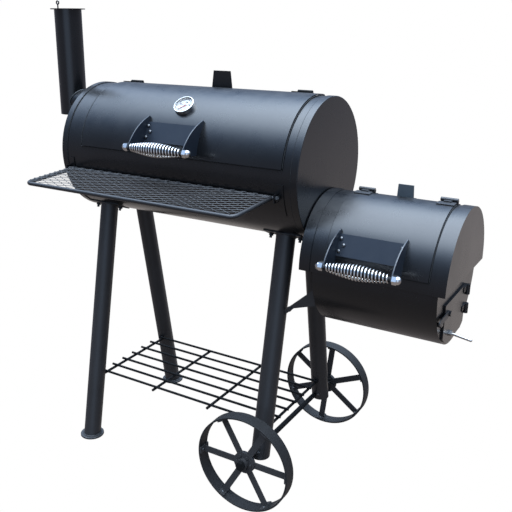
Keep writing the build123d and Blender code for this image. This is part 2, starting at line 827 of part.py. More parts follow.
def shelf_strap(name, start):
    """Strap curved on the barrel, with a lug that the shelf's rear rod is bolted through."""
    lug_reach = shelf_rear + shelf_lug_height / 2
    with BuildPart() as strap:
        with BuildSketch(side(start, chamber_height)):
            ring_sector(chamber_radius, chamber_radius + sheet, shelf_strap_low_angle, shelf_strap_high_angle)
        extrude(amount=shelf_strap_width)
        with BuildSketch(side(start, rear_rod_level)):
            with Locations((-lug_reach / 2, 0)):
                Rectangle(lug_reach, shelf_lug_height)
        extrude(amount=shelf_lug_thickness)
        with BuildSketch(side(start, chamber_height)):
            Circle(chamber_radius)
        extrude(amount=shelf_strap_width, mode=Mode.SUBTRACT)
        with BuildSketch(side(start, rear_rod_level)):
            with Locations((-shelf_rear, 0)):
                Circle(shelf_rod_radius)
        extrude(amount=shelf_lug_thickness, mode=Mode.SUBTRACT)
    write(strap, name)


shelf_strap("shelf_strap_left", lug_left)
shelf_strap("shelf_strap_right", lug_right)

# Legs: splayed tubes with a bolted saddle under the barrel
leg_turn = sqrt(1 + leg_splay**2)
saddle_outer = chamber_radius + saddle_thickness


def leg_depth(z):
    """Distance of a leg's axis from the middle plane at height z."""
    return leg_foot_depth - leg_splay * z


# The leg's axis meets the barrel where its depth is on the barrel's circle
square = 1 + leg_splay**2
slant = 2 * (leg_foot_depth * leg_splay + chamber_height)
offset_square = leg_foot_depth**2 + chamber_height**2 - chamber_radius**2
leg_top = (slant - sqrt(slant**2 - 4 * square * offset_square)) / (2 * square)
saddle_angle = -degrees(acos(leg_depth(leg_top) / chamber_radius))
saddle_half_angle = arc_angle(saddle_half_arc, chamber_radius)
leg_reach = (leg_top + 2 * leg_radius) * leg_turn
leg_bottom_right = wheel_radius - leg_below_axle


def leg_plane(station, hand):
    """Plane at the foot of a leg, square to the leg's axis; hand is -1 at the front and 1 behind."""
    return Plane(
        origin=(mid_x + station, mid_y + hand * leg_foot_depth, 0),
        x_dir=(1, 0, 0),
        z_dir=(0, -hand * leg_splay, 1),
    )


def barrel_angle(hand, angle):
    """Angle on the barrel's section for a leg at the front or its mirror image behind."""
    return angle if hand < 0 else 180 - angle


def leg(name, station, hand, bottom, with_axle):
    """One leg tube with its saddle, two saddle bolts and the holes for shelf wire and axle."""
    with BuildPart() as tube:
        with BuildSketch(leg_plane(station, hand).offset(-2 * leg_radius)):
            Circle(leg_radius)
            Circle(leg_radius - leg_wall, mode=Mode.SUBTRACT)
        extrude(amount=leg_reach + 2 * leg_radius)
        with BuildSketch(level(bottom)):
            with Locations((station, hand * leg_foot_depth)):
                Rectangle(6 * leg_radius, 6 * leg_radius)
        extrude(amount=-bottom - 6 * leg_radius, mode=Mode.SUBTRACT)
        with BuildSketch(side(station - saddle_half_length, chamber_height)):
            Circle(saddle_outer - weld)
        extrude(amount=2 * saddle_half_length, mode=Mode.SUBTRACT)
        with BuildSketch(side(station - saddle_half_length, chamber_height)):
            limits = sorted(barrel_angle(hand, saddle_angle + turn * saddle_half_angle) for turn in (-1, 1))
            ring_sector(chamber_radius, saddle_outer, *limits)
        extrude(amount=2 * saddle_half_length)
        bolt_side = polar(saddle_outer, barrel_angle(hand, saddle_angle))
        bolt_plane = Plane(
            origin=(mid_x + station, mid_y + bolt_side[0], chamber_height + bolt_side[1]),
            x_dir=(1, 0, 0),
            z_dir=(0, *polar(1, barrel_angle(hand, saddle_angle))),
        ).offset(-weld)
        with BuildSketch(bolt_plane):
            with GridLocations(2 * saddle_bolt_offset, 1, 2, 1):
                RegularPolygon(saddle_nut_radius, 6)
        extrude(amount=saddle_nut_length)
        with BuildSketch(bolt_plane):
            with GridLocations(2 * saddle_bolt_offset, 1, 2, 1):
                Circle(saddle_bolt_radius)
        extrude(amount=saddle_bolt_length)
        wire_station = wire_left if station < 0 else wire_right
        with BuildSketch(upright(0)):
            with Locations((wire_station, wire_shelf_height)):
                Circle(cross_wire_radius)
        extrude(amount=-hand * leg_depth(wire_shelf_height), mode=Mode.SUBTRACT)
        if with_axle:
            with BuildSketch(upright(0)):
                with Locations((axle_station, wheel_radius)):
                    Circle(axle_radius)
            extrude(amount=-hand * wheel_depth, mode=Mode.SUBTRACT)
    write(tube, name)


leg("leg_front_left", leg_left_station, -1, foot_thickness, False)
leg("leg_rear_left", leg_left_station, 1, foot_thickness, False)
leg("leg_front_right", leg_right_station, -1, leg_bottom_right, True)
leg("leg_rear_right", leg_right_station, 1, leg_bottom_right, True)

# Foot discs under the left legs
for place, hand in (("front", -1), ("rear", 1)):
    with BuildPart() as foot:
        with BuildSketch(level(0)):
            with Locations((leg_left_station, hand * leg_foot_depth)):
                Circle(foot_radius)
        extrude(amount=foot_thickness)
        fillet(foot.edges().group_by(Axis.Z)[-1], radius=foot_thickness / 3)
    write(foot, f"foot_{place}_left")

# Wire shelf: long wires welded on cross wires, whose end wires enter the legs
cross_step = (wire_right - wire_left) / (cross_wire_count - 1)
wire_level = wire_shelf_height + cross_wire_radius + wire_radius - weld
leg_entry = leg_depth(wire_shelf_height) - leg_radius * leg_turn + wire_leg_entry

with BuildPart() as wire_shelf:
    with BuildSketch(side(wire_left - wire_stub, wire_level)):
        with GridLocations(2 * wire_half_depth / (wire_count - 1), 1, wire_count, 1):
            Circle(wire_radius)
    extrude(amount=wire_right - wire_left + 2 * wire_stub)
    for number in range(cross_wire_count):
        end_wire = number in (0, cross_wire_count - 1)
        reach = leg_entry if end_wire else wire_half_depth + wire_stub
        with BuildSketch(upright(reach)):
            with Locations((wire_left + number * cross_step, wire_shelf_height)):
                Circle(cross_wire_radius)
        extrude(amount=2 * reach)
write(wire_shelf, "wire_shelf")

# Axle with a collar inside each wheel and a cap nut outside it
hub_inner = wheel_depth - hub_length / 2 - axle_side_gap
hub_outer = wheel_depth + hub_length / 2 + axle_side_gap

with BuildPart() as axle:
    with BuildSketch(upright(axle_end - axle_nut_length / 2)):
        with Locations((axle_station, wheel_radius)):
            Circle(axle_radius)
    extrude(amount=2 * axle_end - axle_nut_length)
    for hand in (-1, 1):
        with BuildSketch(upright(hand * hub_inner)):
            with Locations((axle_station, wheel_radius)):
                Circle(collar_radius)
        extrude(amount=hand * collar_length)
        with BuildSketch(upright(hand * hub_outer)):
            with Locations((axle_station, wheel_radius)):
                RegularPolygon(axle_nut_radius, 6)
        extrude(amount=-hand * axle_nut_length)
write(axle, "axle")


def wheel(place, hand, first_angle):
    """A hoop rim, six flat spokes with bent feet, and a hub with two bolted discs."""
    outer_plane = upright(hand * wheel_depth)
    rim_inner = wheel_radius - rim_thickness
    with BuildPart() as rim:
        with BuildSketch(outer_plane.offset(-wheel_width / 2)):
            with Locations((axle_station, wheel_radius)):
                Circle(wheel_radius)
                Circle(rim_inner, mode=Mode.SUBTRACT)
        extrude(amount=wheel_width)
        fillet(rim.edges().filter_by(GeomType.CIRCLE), radius=rim_thickness / 4)
    write(rim, f"{place}_wheel_rim")

    spoke_start = hub_radius + weld
    with BuildPart() as spokes:
        with BuildSketch(outer_plane.offset(-spoke_thickness / 2)):
            with Locations((axle_station, wheel_radius)):
                Circle(hub_disc_radius)
                with PolarLocations(0, spoke_count, start_angle=first_angle):
                    with Locations(((spoke_start + rim_inner) / 2, 0)):
                        Rectangle(rim_inner - spoke_start, spoke_width)
                Circle(hub_radius, mode=Mode.SUBTRACT)
        extrude(amount=spoke_thickness)
        with BuildSketch(outer_plane.offset(-wheel_width / 2)):
            with Locations((axle_station, wheel_radius)):
                with PolarLocations(0, spoke_count, start_angle=first_angle):
                    with Locations((rim_inner - spoke_thickness / 2, 0)):
                        Rectangle(spoke_thickness, spoke_width)
        extrude(amount=wheel_width)
        with BuildSketch(outer_plane.offset(-wheel_width / 2)):
            with Locations((axle_station, wheel_radius)):
                Circle(wheel_radius)
                Circle(rim_inner, mode=Mode.SUBTRACT)
        extrude(amount=wheel_width, mode=Mode.SUBTRACT)
    write(spokes, f"{place}_wheel_spokes")

    disc_total = spoke_thickness + 2 * hub_disc_thickness
    with BuildPart() as hub:
        with BuildSketch(outer_plane.offset(-hub_length / 2)):
            with Locations((axle_station, wheel_radius)):
                Circle(hub_radius)
        extrude(amount=hub_length)
        for start in (-disc_total / 2, spoke_thickness / 2):
            with BuildSketch(outer_plane.offset(start)):
                with Locations((axle_station, wheel_radius)):
                    Circle(hub_disc_radius)
            extrude(amount=hub_disc_thickness)
        for start in (-disc_total / 2 - hub_bolt_length, disc_total / 2):
            with BuildSketch(outer_plane.offset(start)):
                with Locations((axle_station, wheel_radius)):
                    with PolarLocations(hub_bolt_circle, spoke_count):
                        RegularPolygon(hub_bolt_radius, 6)
            extrude(amount=hub_bolt_length)
        with BuildSketch(outer_plane.offset(-hub_length / 2)):
            with Locations((axle_station, wheel_radius)):
                Circle(axle_radius + pin_gap)
        extrude(amount=hub_length, mode=Mode.SUBTRACT)
    write(hub, f"{place}_wheel_hub")


wheel("front", -1, front_spoke_angle)
wheel("rear", 1, rear_spoke_angle)


# Firebox hood: a half barrel with the opening under its lid
def hood_cut(length):
    """Remove everything below the hood's skirt from the sketch of a full circle."""
    with Locations((0, -hood_skirt - length / 2)):
        Rectangle(3 * firebox_radius, length, mode=Mode.SUBTRACT)


fire_opening_front = fire_lid_front_angle + arc_angle(lid_lap, firebox_radius)
fire_opening_rear = fire_lid_rear_angle - arc_angle(lid_lap, firebox_radius)

with BuildPart() as firebox_hood:
    with BuildSketch(side(firebox_left + sheet, firebox_height)):
        Circle(firebox_radius)
        Circle(hood_inner, mode=Mode.SUBTRACT)
        hood_cut(2 * firebox_radius)
    extrude(amount=firebox_length - 2 * sheet)
    with BuildSketch(side(fire_lid_left + lid_lap, firebox_height)):
        ring_sector(hood_inner - sheet, firebox_radius + sheet, fire_opening_front, fire_opening_rear)
    extrude(amount=fire_lid_right - fire_lid_left - 2 * lid_lap, mode=Mode.SUBTRACT)
write(firebox_hood, "firebox_hood")


def hood_plate(name, outer, hand, floor_width, throat):
    """Half-round end plate with a flange over the hood and a floor strip in to the tray."""
    with BuildPart() as plate:
        with BuildSketch(side(outer, firebox_height)):
            Circle(firebox_cap_radius)
            hood_cut(2 * firebox_radius)
        extrude(amount=hand * sheet)
        with BuildSketch(side(outer, firebox_height)):
            Circle(firebox_cap_radius)
            Circle(firebox_radius, mode=Mode.SUBTRACT)
            hood_cut(2 * firebox_radius)
        extrude(amount=hand * firebox_flange)
        with BuildSketch(side(outer, hood_bottom + sheet / 2)):
            Rectangle(2 * hood_inner, sheet)
        extrude(amount=hand * floor_width)
        with BuildSketch(side(outer + hand * sheet, firebox_height)):
            Circle(firebox_radius)
            Circle(hood_inner, mode=Mode.SUBTRACT)
        extrude(amount=hand * floor_width, mode=Mode.SUBTRACT)
        if throat:
            with BuildSketch(side(outer, (throat_low + throat_high) / 2)):
                Rectangle(2 * throat_half_width, throat_high - throat_low)
            extrude(amount=hand * sheet, mode=Mode.SUBTRACT)
    write(plate, name)


hood_plate("firebox_left_plate", firebox_left, 1, tray_inset_left, True)
hood_plate("firebox_right_plate", firebox_right, -1, tray_inset_right, False)

# Collar between the chamber's cap and the firebox, round the throat that the smoke passes
with BuildPart() as throat_collar:
    with BuildSketch(side(half_length, (throat_low + throat_high) / 2)):
        Rectangle(2 * (throat_half_width + throat_rim), throat_high - throat_low + 2 * throat_rim)
        Rectangle(2 * throat_half_width, throat_high - throat_low, mode=Mode.SUBTRACT)
    extrude(amount=firebox_gap)
write(throat_collar, "throat_collar")


# Lower half of the firebox, with the opening and keeper for the side door
def tray_outline(radius):
    """U-shaped outline: straight sides from the tray's top down to its round bottom."""
    with BuildLine() as outline:
        Line((-radius, tray_top - tray_axis), (-radius, 0))
        ThreePointArc((-radius, 0), (0, -radius), (radius, 0))
        Line((radius, 0), (radius, tray_top - tray_axis))
        Line((radius, tray_top - tray_axis), (-radius, tray_top - tray_axis))
    make_face(outline.edges())


door_middle = (door_low + door_high) / 2
keeper_depth = latch_pivot_depth - latch_length + keeper_width
latch_low_edge = latch_pivot_level - latch_half_height

with BuildPart() as firebox_tray:
    with BuildSketch(side(tray_left, tray_axis)):
        tray_outline(tray_radius)
    extrude(amount=tray_right - tray_left)
    with BuildSketch(side(tray_left + sheet, tray_axis)):
        tray_outline(tray_radius - sheet)
    extrude(amount=tray_right - tray_left - 2 * sheet, mode=Mode.SUBTRACT)
    with BuildSketch(side(firebox_left, firebox_height)):
        Rectangle(3 * firebox_radius, 3 * firebox_radius)
        Circle(hood_inner, mode=Mode.SUBTRACT)
        hood_cut(2 * firebox_radius)
    extrude(amount=firebox_length, mode=Mode.SUBTRACT)
    with BuildSketch(side(tray_right - sheet, tray_axis)):
        with Locations(((door_front + door_rear) / 2, door_middle - tray_axis)):
            Rectangle(door_rear - door_front - 2 * door_lap, door_high - door_low - 2 * door_lap)
        Circle(tray_radius - sheet - door_edge_margin - door_lap, mode=Mode.INTERSECT)
    extrude(amount=sheet, mode=Mode.SUBTRACT)
    with BuildSketch(side(tray_right, latch_low_edge - slide_gap - keeper_height / 2)):
        with Locations((keeper_depth, 0)):
            Rectangle(keeper_width, keeper_height)
    extrude(amount=slide_gap + door_depth + slide_gap + latch_thickness)
    for start in door_hinge_levels:
        with BuildSketch(level(start)):
            with Locations((tray_right + door_hinge_out, door_hinge_depth)):
                Circle(door_knuckle_radius)
            with Locations((tray_right + sheet / 2, door_hinge_depth + door_leaf_width / 2)):
                Rectangle(sheet, door_leaf_width)
            with Locations((tray_right + door_hinge_out / 2, door_hinge_depth + door_knuckle_radius / 2)):
                Rectangle(door_hinge_out, door_knuckle_radius)
        extrude(amount=door_knuckle_length)
        with BuildSketch(level(start)):
            with Locations((tray_right + door_hinge_out, door_hinge_depth)):
                Circle(hinge_pin_radius)
        extrude(amount=2 * door_knuckle_length)
write(firebox_tray, "firebox_tray")

# Grate for the coals, resting on the tray's curved sides
coal_drop = tray_axis - coal_grate_height - coal_rod_radius
coal_half_depth = sqrt((tray_radius - sheet - coal_rod_radius) ** 2 - coal_drop**2) + coal_rod_radius
coal_top_limit = sqrt((tray_radius - sheet) ** 2 - (coal_drop - coal_rod_radius) ** 2)
wire_grate("charcoal_grate", tray_left + sheet + grate_middle_gap, tray_right - sheet - grate_middle_gap,
           min(coal_half_depth, coal_top_limit), coal_grate_height, coal_rod_radius, coal_rod_pitch)


# Side door: a shallow pan with hinge knuckles, a chrome pull and the latch's pivot
def door_outline(inset):
    """The door's rectangle, trimmed by the round bottom of the tray."""
    with Locations(((door_front + door_rear) / 2, door_middle - tray_axis)):
        Rectangle(door_rear - door_front - 2 * inset, door_high - door_low - 2 * inset)
    Circle(tray_radius - door_edge_margin - inset, mode=Mode.INTERSECT)


with BuildPart() as firebox_door:
    with BuildSketch(side(tray_right + slide_gap, tray_axis)):
        door_outline(0)
    extrude(amount=door_depth)
    with BuildSketch(side(tray_right + slide_gap, tray_axis)):
        door_outline(sheet)
    extrude(amount=door_depth - sheet, mode=Mode.SUBTRACT)
    for start in door_hinge_levels:
        knuckle_start = start + door_knuckle_length + slide_gap
        leaf_span = door_hinge_depth - door_rear + door_leaf_width
        with BuildSketch(level(knuckle_start)):
            with Locations((door_face + sheet / 2, door_hinge_depth - leaf_span / 2)):
                Rectangle(sheet, leaf_span)
            with Locations((tray_right + door_hinge_out, door_hinge_depth)):
                Circle(door_knuckle_radius)
                Circle(hinge_pin_radius + pin_gap, mode=Mode.SUBTRACT)
        extrude(amount=door_knuckle_length)
    with BuildSketch(side(door_face, latch_pivot_level)):
        with Locations((latch_pivot_depth, 0)):
            Circle(latch_pin_radius)
    extrude(amount=latch_thickness + 2 * slide_gap + latch_head_length)
    with BuildSketch(side(door_face + latch_thickness + 2 * slide_gap, latch_pivot_level)):
        with Locations((latch_pivot_depth, 0)):
            RegularPolygon(latch_head_radius, 6)
    extrude(amount=latch_head_length)
write(firebox_door, "firebox_door")

with BuildPart() as door_pull:
    with BuildSketch(side(door_face, door_pull_level)):
        with Locations((door_pull_depth, 0)):
            RegularPolygon(door_pull_nut_radius, 6)
    extrude(amount=door_pull_nut_length)
    pull_plane = Plane(
        origin=(mid_x + door_face, mid_y + door_pull_depth, door_pull_level),
        x_dir=(0, 1, 0),
        z_dir=(door_pull_length, 0, -door_pull_droop),
    )
    with BuildSketch(pull_plane.offset(door_pull_radius)):
        Circle(door_pull_radius)
    extrude(amount=sqrt(door_pull_length**2 + door_pull_droop**2) - 2 * door_pull_radius)
    with Locations(pull_plane.offset(sqrt(door_pull_length**2 + door_pull_droop**2) - door_pull_radius)):
        Sphere(door_pull_radius)
write(door_pull, "door_pull")

with BuildPart() as door_latch:
    with BuildSketch(side(door_face + slide_gap, latch_pivot_level)):
        with Locations((latch_pivot_depth - latch_length / 2, 0)):
            SlotCenterToCenter(latch_length, 2 * latch_half_height)
        with Locations((latch_pivot_depth, 0)):
            Circle(latch_pin_radius + pin_gap, mode=Mode.SUBTRACT)
    extrude(amount=latch_thickness)
write(door_latch, "door_latch")


def strut(name, hand):
    """Flat strut from a right leg to the tray's left end, coped round the leg's tube."""
    depth = hand * leg_depth((strut_leg_low + strut_leg_high) / 2)
    with BuildPart() as plate:
        with BuildSketch(upright(depth + strut_thickness / 2)):
            with BuildLine():
                Polyline((leg_right_station, strut_leg_low), (strut_bend_station, strut_bend),
                         (tray_left, strut_box_low), (tray_left, strut_box_high),
                         (leg_right_station, strut_leg_high), close=True)
            make_face()
        extrude(amount=strut_thickness)
        with BuildSketch(upright(depth)):
            with Locations((leg_right_station + leg_radius + strut_bolt_radius * 2, strut_bolt_level)):
                RegularPolygon(strut_bolt_radius, 6)
        extrude(amount=strut_thickness / 2 + strut_bolt_length)
        with BuildSketch(leg_plane(leg_right_station, hand)):
            Circle(leg_radius)
        extrude(amount=leg_reach, mode=Mode.SUBTRACT)
    write(plate, name)


strut("firebox_strut_front", -1)
strut("firebox_strut_rear", 1)
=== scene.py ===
from math import cos, pi, radians, sin
import bmesh
import bpy
import numpy as np
from mathutils import Matrix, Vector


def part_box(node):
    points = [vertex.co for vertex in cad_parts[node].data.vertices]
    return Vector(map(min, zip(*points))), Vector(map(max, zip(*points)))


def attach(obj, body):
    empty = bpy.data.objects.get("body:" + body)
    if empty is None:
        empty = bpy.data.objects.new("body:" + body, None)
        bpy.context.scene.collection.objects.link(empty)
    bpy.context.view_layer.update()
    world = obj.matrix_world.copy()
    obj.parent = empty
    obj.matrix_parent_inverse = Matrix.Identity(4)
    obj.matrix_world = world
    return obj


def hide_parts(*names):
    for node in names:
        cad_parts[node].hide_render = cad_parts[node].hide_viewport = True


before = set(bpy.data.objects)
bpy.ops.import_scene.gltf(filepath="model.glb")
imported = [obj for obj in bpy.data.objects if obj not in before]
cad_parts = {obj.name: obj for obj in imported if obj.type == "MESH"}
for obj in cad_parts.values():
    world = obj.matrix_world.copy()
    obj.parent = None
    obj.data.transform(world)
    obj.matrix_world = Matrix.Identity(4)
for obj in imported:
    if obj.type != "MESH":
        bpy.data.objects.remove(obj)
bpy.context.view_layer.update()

# Lengths are millimetres, across and in depth from the middle of the barrel's axis and up from the ground,
# until mm() turns them into the part's metres; angles round a barrel are degrees up from its front
SHELL_LOW, SHELL_HIGH = [np.array(corner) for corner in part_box("chamber_shell")]
BARREL_MIDDLE = (SHELL_LOW + SHELL_HIGH) / 2 * (1, 1, 0)


def mm(points):
    """Millimetres from the barrel's middle to metres in the part's frame."""
    return np.asarray(points, float) / 1000 + BARREL_MIDDLE


def box_mm(node_name):
    """The low and high corners of a node of the part, in millimetres from the barrel's middle."""
    return [(np.array(corner) - BARREL_MIDDLE) * 1000 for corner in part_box(node_name)]


def centre_of(node_name):
    """The middle of a node's box."""
    return sum(box_mm(node_name)) / 2


def span(node_name, axis):
    """Where a node starts and where it ends along the x, y or z axis."""
    return [corner["xyz".index(axis)] for corner in box_mm(node_name)]


BARREL_HEIGHT = centre_of("chamber_shell")[2]
BARREL_RADIUS = span("chamber_shell", "z")[1] - BARREL_HEIGHT
FLANGE_EDGE, BARREL_END = span("right_end_cap", "x")
LID_LEFT, LID_RIGHT = span("main_lid", "x")
LID_RADIUS, LID_FRONT, LID_REAR = 207.5, 8.3, 102.5
FIREBOX_HEIGHT, FIREBOX_RADIUS = 741.0, 182.0
FIRE_LID_LEFT, FIRE_LID_RIGHT = span("firebox_lid", "x")
FIRE_LID_RADIUS, FIRE_LID_FRONT, FIRE_LID_REAR = 187.5, 8.5, 92.0
# Gaps from the lids' side edges to the painted shade lines beside them
SHADE_LINE_GAP, LEFT_SHADE_LINE_GAP = 1.4, 5.2
SHELF_LEFT, SHELF_RIGHT = span("shelf_mesh", "x")
SHELF_FRONT, SHELF_REAR = -399.0, -208.0
SHELF_TOP, SHELF_RISE = 930.0, 10.0
SHELF_ROD, SHELF_MESH = 6.0, 3.0
SHELF_CORNER, SHELF_OVERHANG = 20.0, 20.0
DIAL_STATION = centre_of("thermometer_dial")[0]
DIAL_ANGLE, DIAL_FACE = 50.8, 212.5
PLATE_RISE, PLATE_ANGLE = 5.4, 25.6
GRIP_TURNS, GRIP_WIRE = 19, 2.3
LEG_DEPTH = centre_of("foot_rear_left")[1]
LEG_SPLAY, LEG_RADIUS, SADDLE_RADIUS = 0.191, 28.5, 205.0
FOOT_TOP = span("foot_rear_left", "z")[1]
SPOKE_COUNT, SPOKE_FOOT = 6, 141.0
SPOKE_TURNS = {"front": 0.5, "rear": 24.0}
STACK_STATION, STACK_RADIUS = -551.0, 44.5
NECK_LEVEL, NECK_RADIUS = 1111.5, 39.0


def unit(vectors):
    """Vectors scaled to length one along the last axis."""
    vectors = np.asarray(vectors, float)
    return vectors / np.linalg.norm(vectors, axis=-1, keepdims=True)


def skin_of(rings, closed=False):
    """Quads between neighbouring rings of a (ring, point, 3) array, whose last ring may join its first."""
    count, sides = rings.shape[:2]
    ring, point = np.meshgrid(np.arange(count - (not closed)), np.arange(sides), indexing="ij")
    here, there = ring * sides, (ring + 1) % count * sides
    beside = (point + 1) % sides
    quads = np.stack((here + point, there + point, there + beside, here + beside), -1)
    return rings.reshape(-1, 3), [quads.reshape(-1, 4)]


def end_faces(rings, sides):
    """The two flat faces that close a tube of so many rings of points."""
    last = (rings - 1) * sides
    return [np.arange(sides)[None, ::-1], np.arange(last, last + sides)[None]]


def merge(shapes):
    """Several (points, faces) shapes as one."""
    points, faces, start = [], [], 0
    for shape_points, shape_faces in shapes:
        points.append(shape_points)
        faces += [block + start for block in shape_faces]
        start += len(shape_points)
    return np.concatenate(points), faces


def tube(path, radius, sides=12, closed=False, up=(0, 0, 1)):
    """A circle, of one radius or one per point, carried along a path and square to it, with flat ends.
    The way up is any direction that the path never runs along."""
    path = np.asarray(path, float)
    ahead = np.roll(path, -1, 0) - np.roll(path, 1, 0)
    if not closed:
        ahead[0] = path[1] - path[0]
        ahead[-1] = path[-1] - path[-2]
    ahead = unit(ahead)
    across = unit(np.cross(ahead, np.asarray(up, float)))
    over = np.cross(across, ahead)
    turn = np.linspace(0, 2 * pi, sides, endpoint=False)[None, :, None]
    radius = np.broadcast_to(np.asarray(radius, float), (len(path),))[:, None, None]
    ring = across[:, None] * np.cos(turn) + over[:, None] * np.sin(turn)
    points, faces = skin_of(path[:, None] + radius * ring, closed)
    if not closed:
        faces += end_faces(len(path), sides)
    return points, faces


def turned(profile, centre, axis, sides):
    """A profile of (radius, height) points turned about an axis through centre."""
    axis = unit(axis)
    helper = np.array((1.0, 0, 0)) if abs(axis[0]) < 0.9 else np.array((0, 1.0, 0))
    across = unit(np.cross(axis, helper))
    over = np.cross(axis, across)
    turn = np.linspace(0, 2 * pi, sides, endpoint=False)[:, None]
    profile = np.asarray(profile, float)
    ring = across * np.cos(turn) + over * np.sin(turn)
    points = np.asarray(centre, float) + profile[:, None, :1] * ring + profile[:, None, 1:] * axis
    return skin_of(points)


def dome(centre, axis, radius, height, sides=16, steps=5):
    """A low round head: a quarter ellipse turned about the axis, sunk a little into what it sits on."""
    sunk = 0.4
    lean = np.linspace(0, pi / 2, steps)
    profile = np.stack((radius * np.cos(lean), height * np.sin(lean)), -1)
    return turned(np.concatenate((((radius, -sunk),), profile)), centre, axis, sides)


def hex_head(centre, axis, radius, height):
    """A six-sided head with its top corners turned off, sunk a little into what it sits on."""
    sunk = 0.3
    profile = ((radius, -sunk), (radius, 0.8 * height), (0.86 * radius, height), (0, height))
    return turned(profile, centre, axis, 6)


def bead(path, radius, dab, up):
    """A weld bead round a closed path: a tube whose radius rises and falls once for each dab of the rod."""
    swell = 0.16
    path = np.asarray(path, float)
    steps = np.linalg.norm(np.diff(path, axis=0), axis=1)
    along = np.concatenate(((0,), np.cumsum(steps)))
    ripple = radius * (1 + swell * np.abs(np.sin(pi * along / dab)))
    return tube(path, ripple, 8, True, up)


def on_barrel(x, radius, angle, height):
    """Points at a station, radius and angle in degrees up from the front of a barrel at the given height."""
    x, radius, angle = np.broadcast_arrays(*[np.asarray(value, float) for value in (x, radius, angle)])
    lean = np.radians(angle)
    return np.stack((x, -radius * np.cos(lean), height + radius * np.sin(lean)), -1)


def out_and_up(angle):
    """Directions on a flat plate that leans on a barrel at an angle: straight out of it, and up along it."""
    lean = radians(angle)
    return np.array((0, -cos(lean), sin(lean))), np.array((0, sin(lean), cos(lean)))


def tidy_mesh(mesh):
    """Poles and seams closed, slivers gone and faces turned outwards."""
    work = bmesh.new()
    work.from_mesh(mesh)
    bmesh.ops.remove_doubles(work, verts=work.verts, dist=1e-6)
    bmesh.ops.dissolve_degenerate(work, edges=work.edges, dist=1e-7)
    bmesh.ops.recalc_face_normals(work, faces=work.faces)
    work.to_mesh(mesh)
    work.free()


def make(name, shape, finish, body, stands_for=(), crease=35):
    """A finished piece: points in millimetres become a smooth mesh at the origin that rides on its body."""
    points, faces = shape
    mesh = bpy.data.meshes.new(name)
    mesh.from_pydata(mm(points).tolist(), [], [face for block in faces for face in block.tolist()])
    tidy_mesh(mesh)
    mesh.shade_smooth()
    mesh.set_sharp_from_angle(angle=radians(crease))
    mesh.materials.append(finish)
    piece = bpy.data.objects.new(name, mesh)
    bpy.context.scene.collection.objects.link(piece)
    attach(piece, body)
    if stands_for:
        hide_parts(*stands_for)


def node(tree, kind, props=(), values=(), links=()):
    """A node with its properties, unlinked input values and links set by name or number."""
    made = tree.nodes.new(kind)
    for key, value in dict(props).items():
        setattr(made, key, value)
    for key, value in dict(values).items():
        made.inputs[key].default_value = value
    for key, source in dict(links).items():
        tree.links.new(source, made.inputs[key])
    return made


def shader_group(name, inputs, outputs):
    """An empty node group with named float or vector inputs and float outputs."""
    group = bpy.data.node_groups.new(name, "ShaderNodeTree")
    for label, kind, value in inputs:
        socket = group.interface.new_socket(label, in_out="INPUT", socket_type=kind)
        if value is not None:
            socket.default_value = value
    for label in outputs:
        group.interface.new_socket(label, in_out="OUTPUT", socket_type="NodeSocketFloat")
    return group, group.nodes.new("NodeGroupInput"), group.nodes.new("NodeGroupOutput")


def sprayed_skin():
    """Sprayed paint: a fine dimpled height, a slow blotch and a sparse speck, all from object coordinates."""
    group, enter, leave = shader_group(
        "sprayed_skin",
        (("Vector", "NodeSocketVector", None), ("Dimples per metre", "NodeSocketFloat", 420.0),
         ("Blotches per metre", "NodeSocketFloat", 7.0)),
        ("Height", "Blotch", "Speck"))
    dimple = node(group, "ShaderNodeTexNoise", values={"Detail": 2.0, "Roughness": 0.45},
                  links={"Vector": enter.outputs["Vector"], "Scale": enter.outputs["Dimples per metre"]})
    blotch = node(group, "ShaderNodeTexNoise", values={"Detail": 3.0, "Roughness": 0.6, "Distortion": 0.4},
                  links={"Vector": enter.outputs["Vector"], "Scale": enter.outputs["Blotches per metre"]})
    speck = node(group, "ShaderNodeTexVoronoi", values={"Scale": 55.0},
                 links={"Vector": enter.outputs["Vector"]})
    dot = node(group, "ShaderNodeMapRange", values={"From Min": 0.10, "From Max": 0.03},
               links={"Value": speck.outputs["Distance"]})
    group.links.new(dimple.outputs["Fac"], leave.inputs["Height"])
    group.links.new(blotch.outputs["Fac"], leave.inputs["Blotch"])
    group.links.new(dot.outputs["Result"], leave.inputs["Speck"])
    return group


def settled_dust():
    """Dust: how far the surface faces up, broken by patches of noise."""
    group, enter, leave = shader_group(
        "settled_dust",
        (("Vector", "NodeSocketVector", None), ("Facing", "NodeSocketVector", None),
         ("Amount", "NodeSocketFloat", 0.3)),
        ("Dust",))
    parts = node(group, "ShaderNodeSeparateXYZ", links={"Vector": enter.outputs["Facing"]})
    facing_up = node(group, "ShaderNodeMapRange", values={"From Min": 0.25, "From Max": 1.0},
                     links={"Value": parts.outputs["Z"]})
    patch = node(group, "ShaderNodeTexNoise", values={"Scale": 24.0, "Detail": 6.0, "Roughness": 0.65},
                 links={"Vector": enter.outputs["Vector"]})
    soft = node(group, "ShaderNodeMapRange", values={"From Min": 0.35, "From Max": 0.75},
                links={"Value": patch.outputs["Fac"]})
    both = node(group, "ShaderNodeMath", props={"operation": "MULTIPLY"},
                links={0: facing_up.outputs["Result"], 1: soft.outputs["Result"]})
    scaled = node(group, "ShaderNodeMath", props={"operation": "MULTIPLY"},
                  links={0: both.outputs["Value"], 1: enter.outputs["Amount"]})
    group.links.new(scaled.outputs["Value"], leave.inputs["Dust"])
    return group


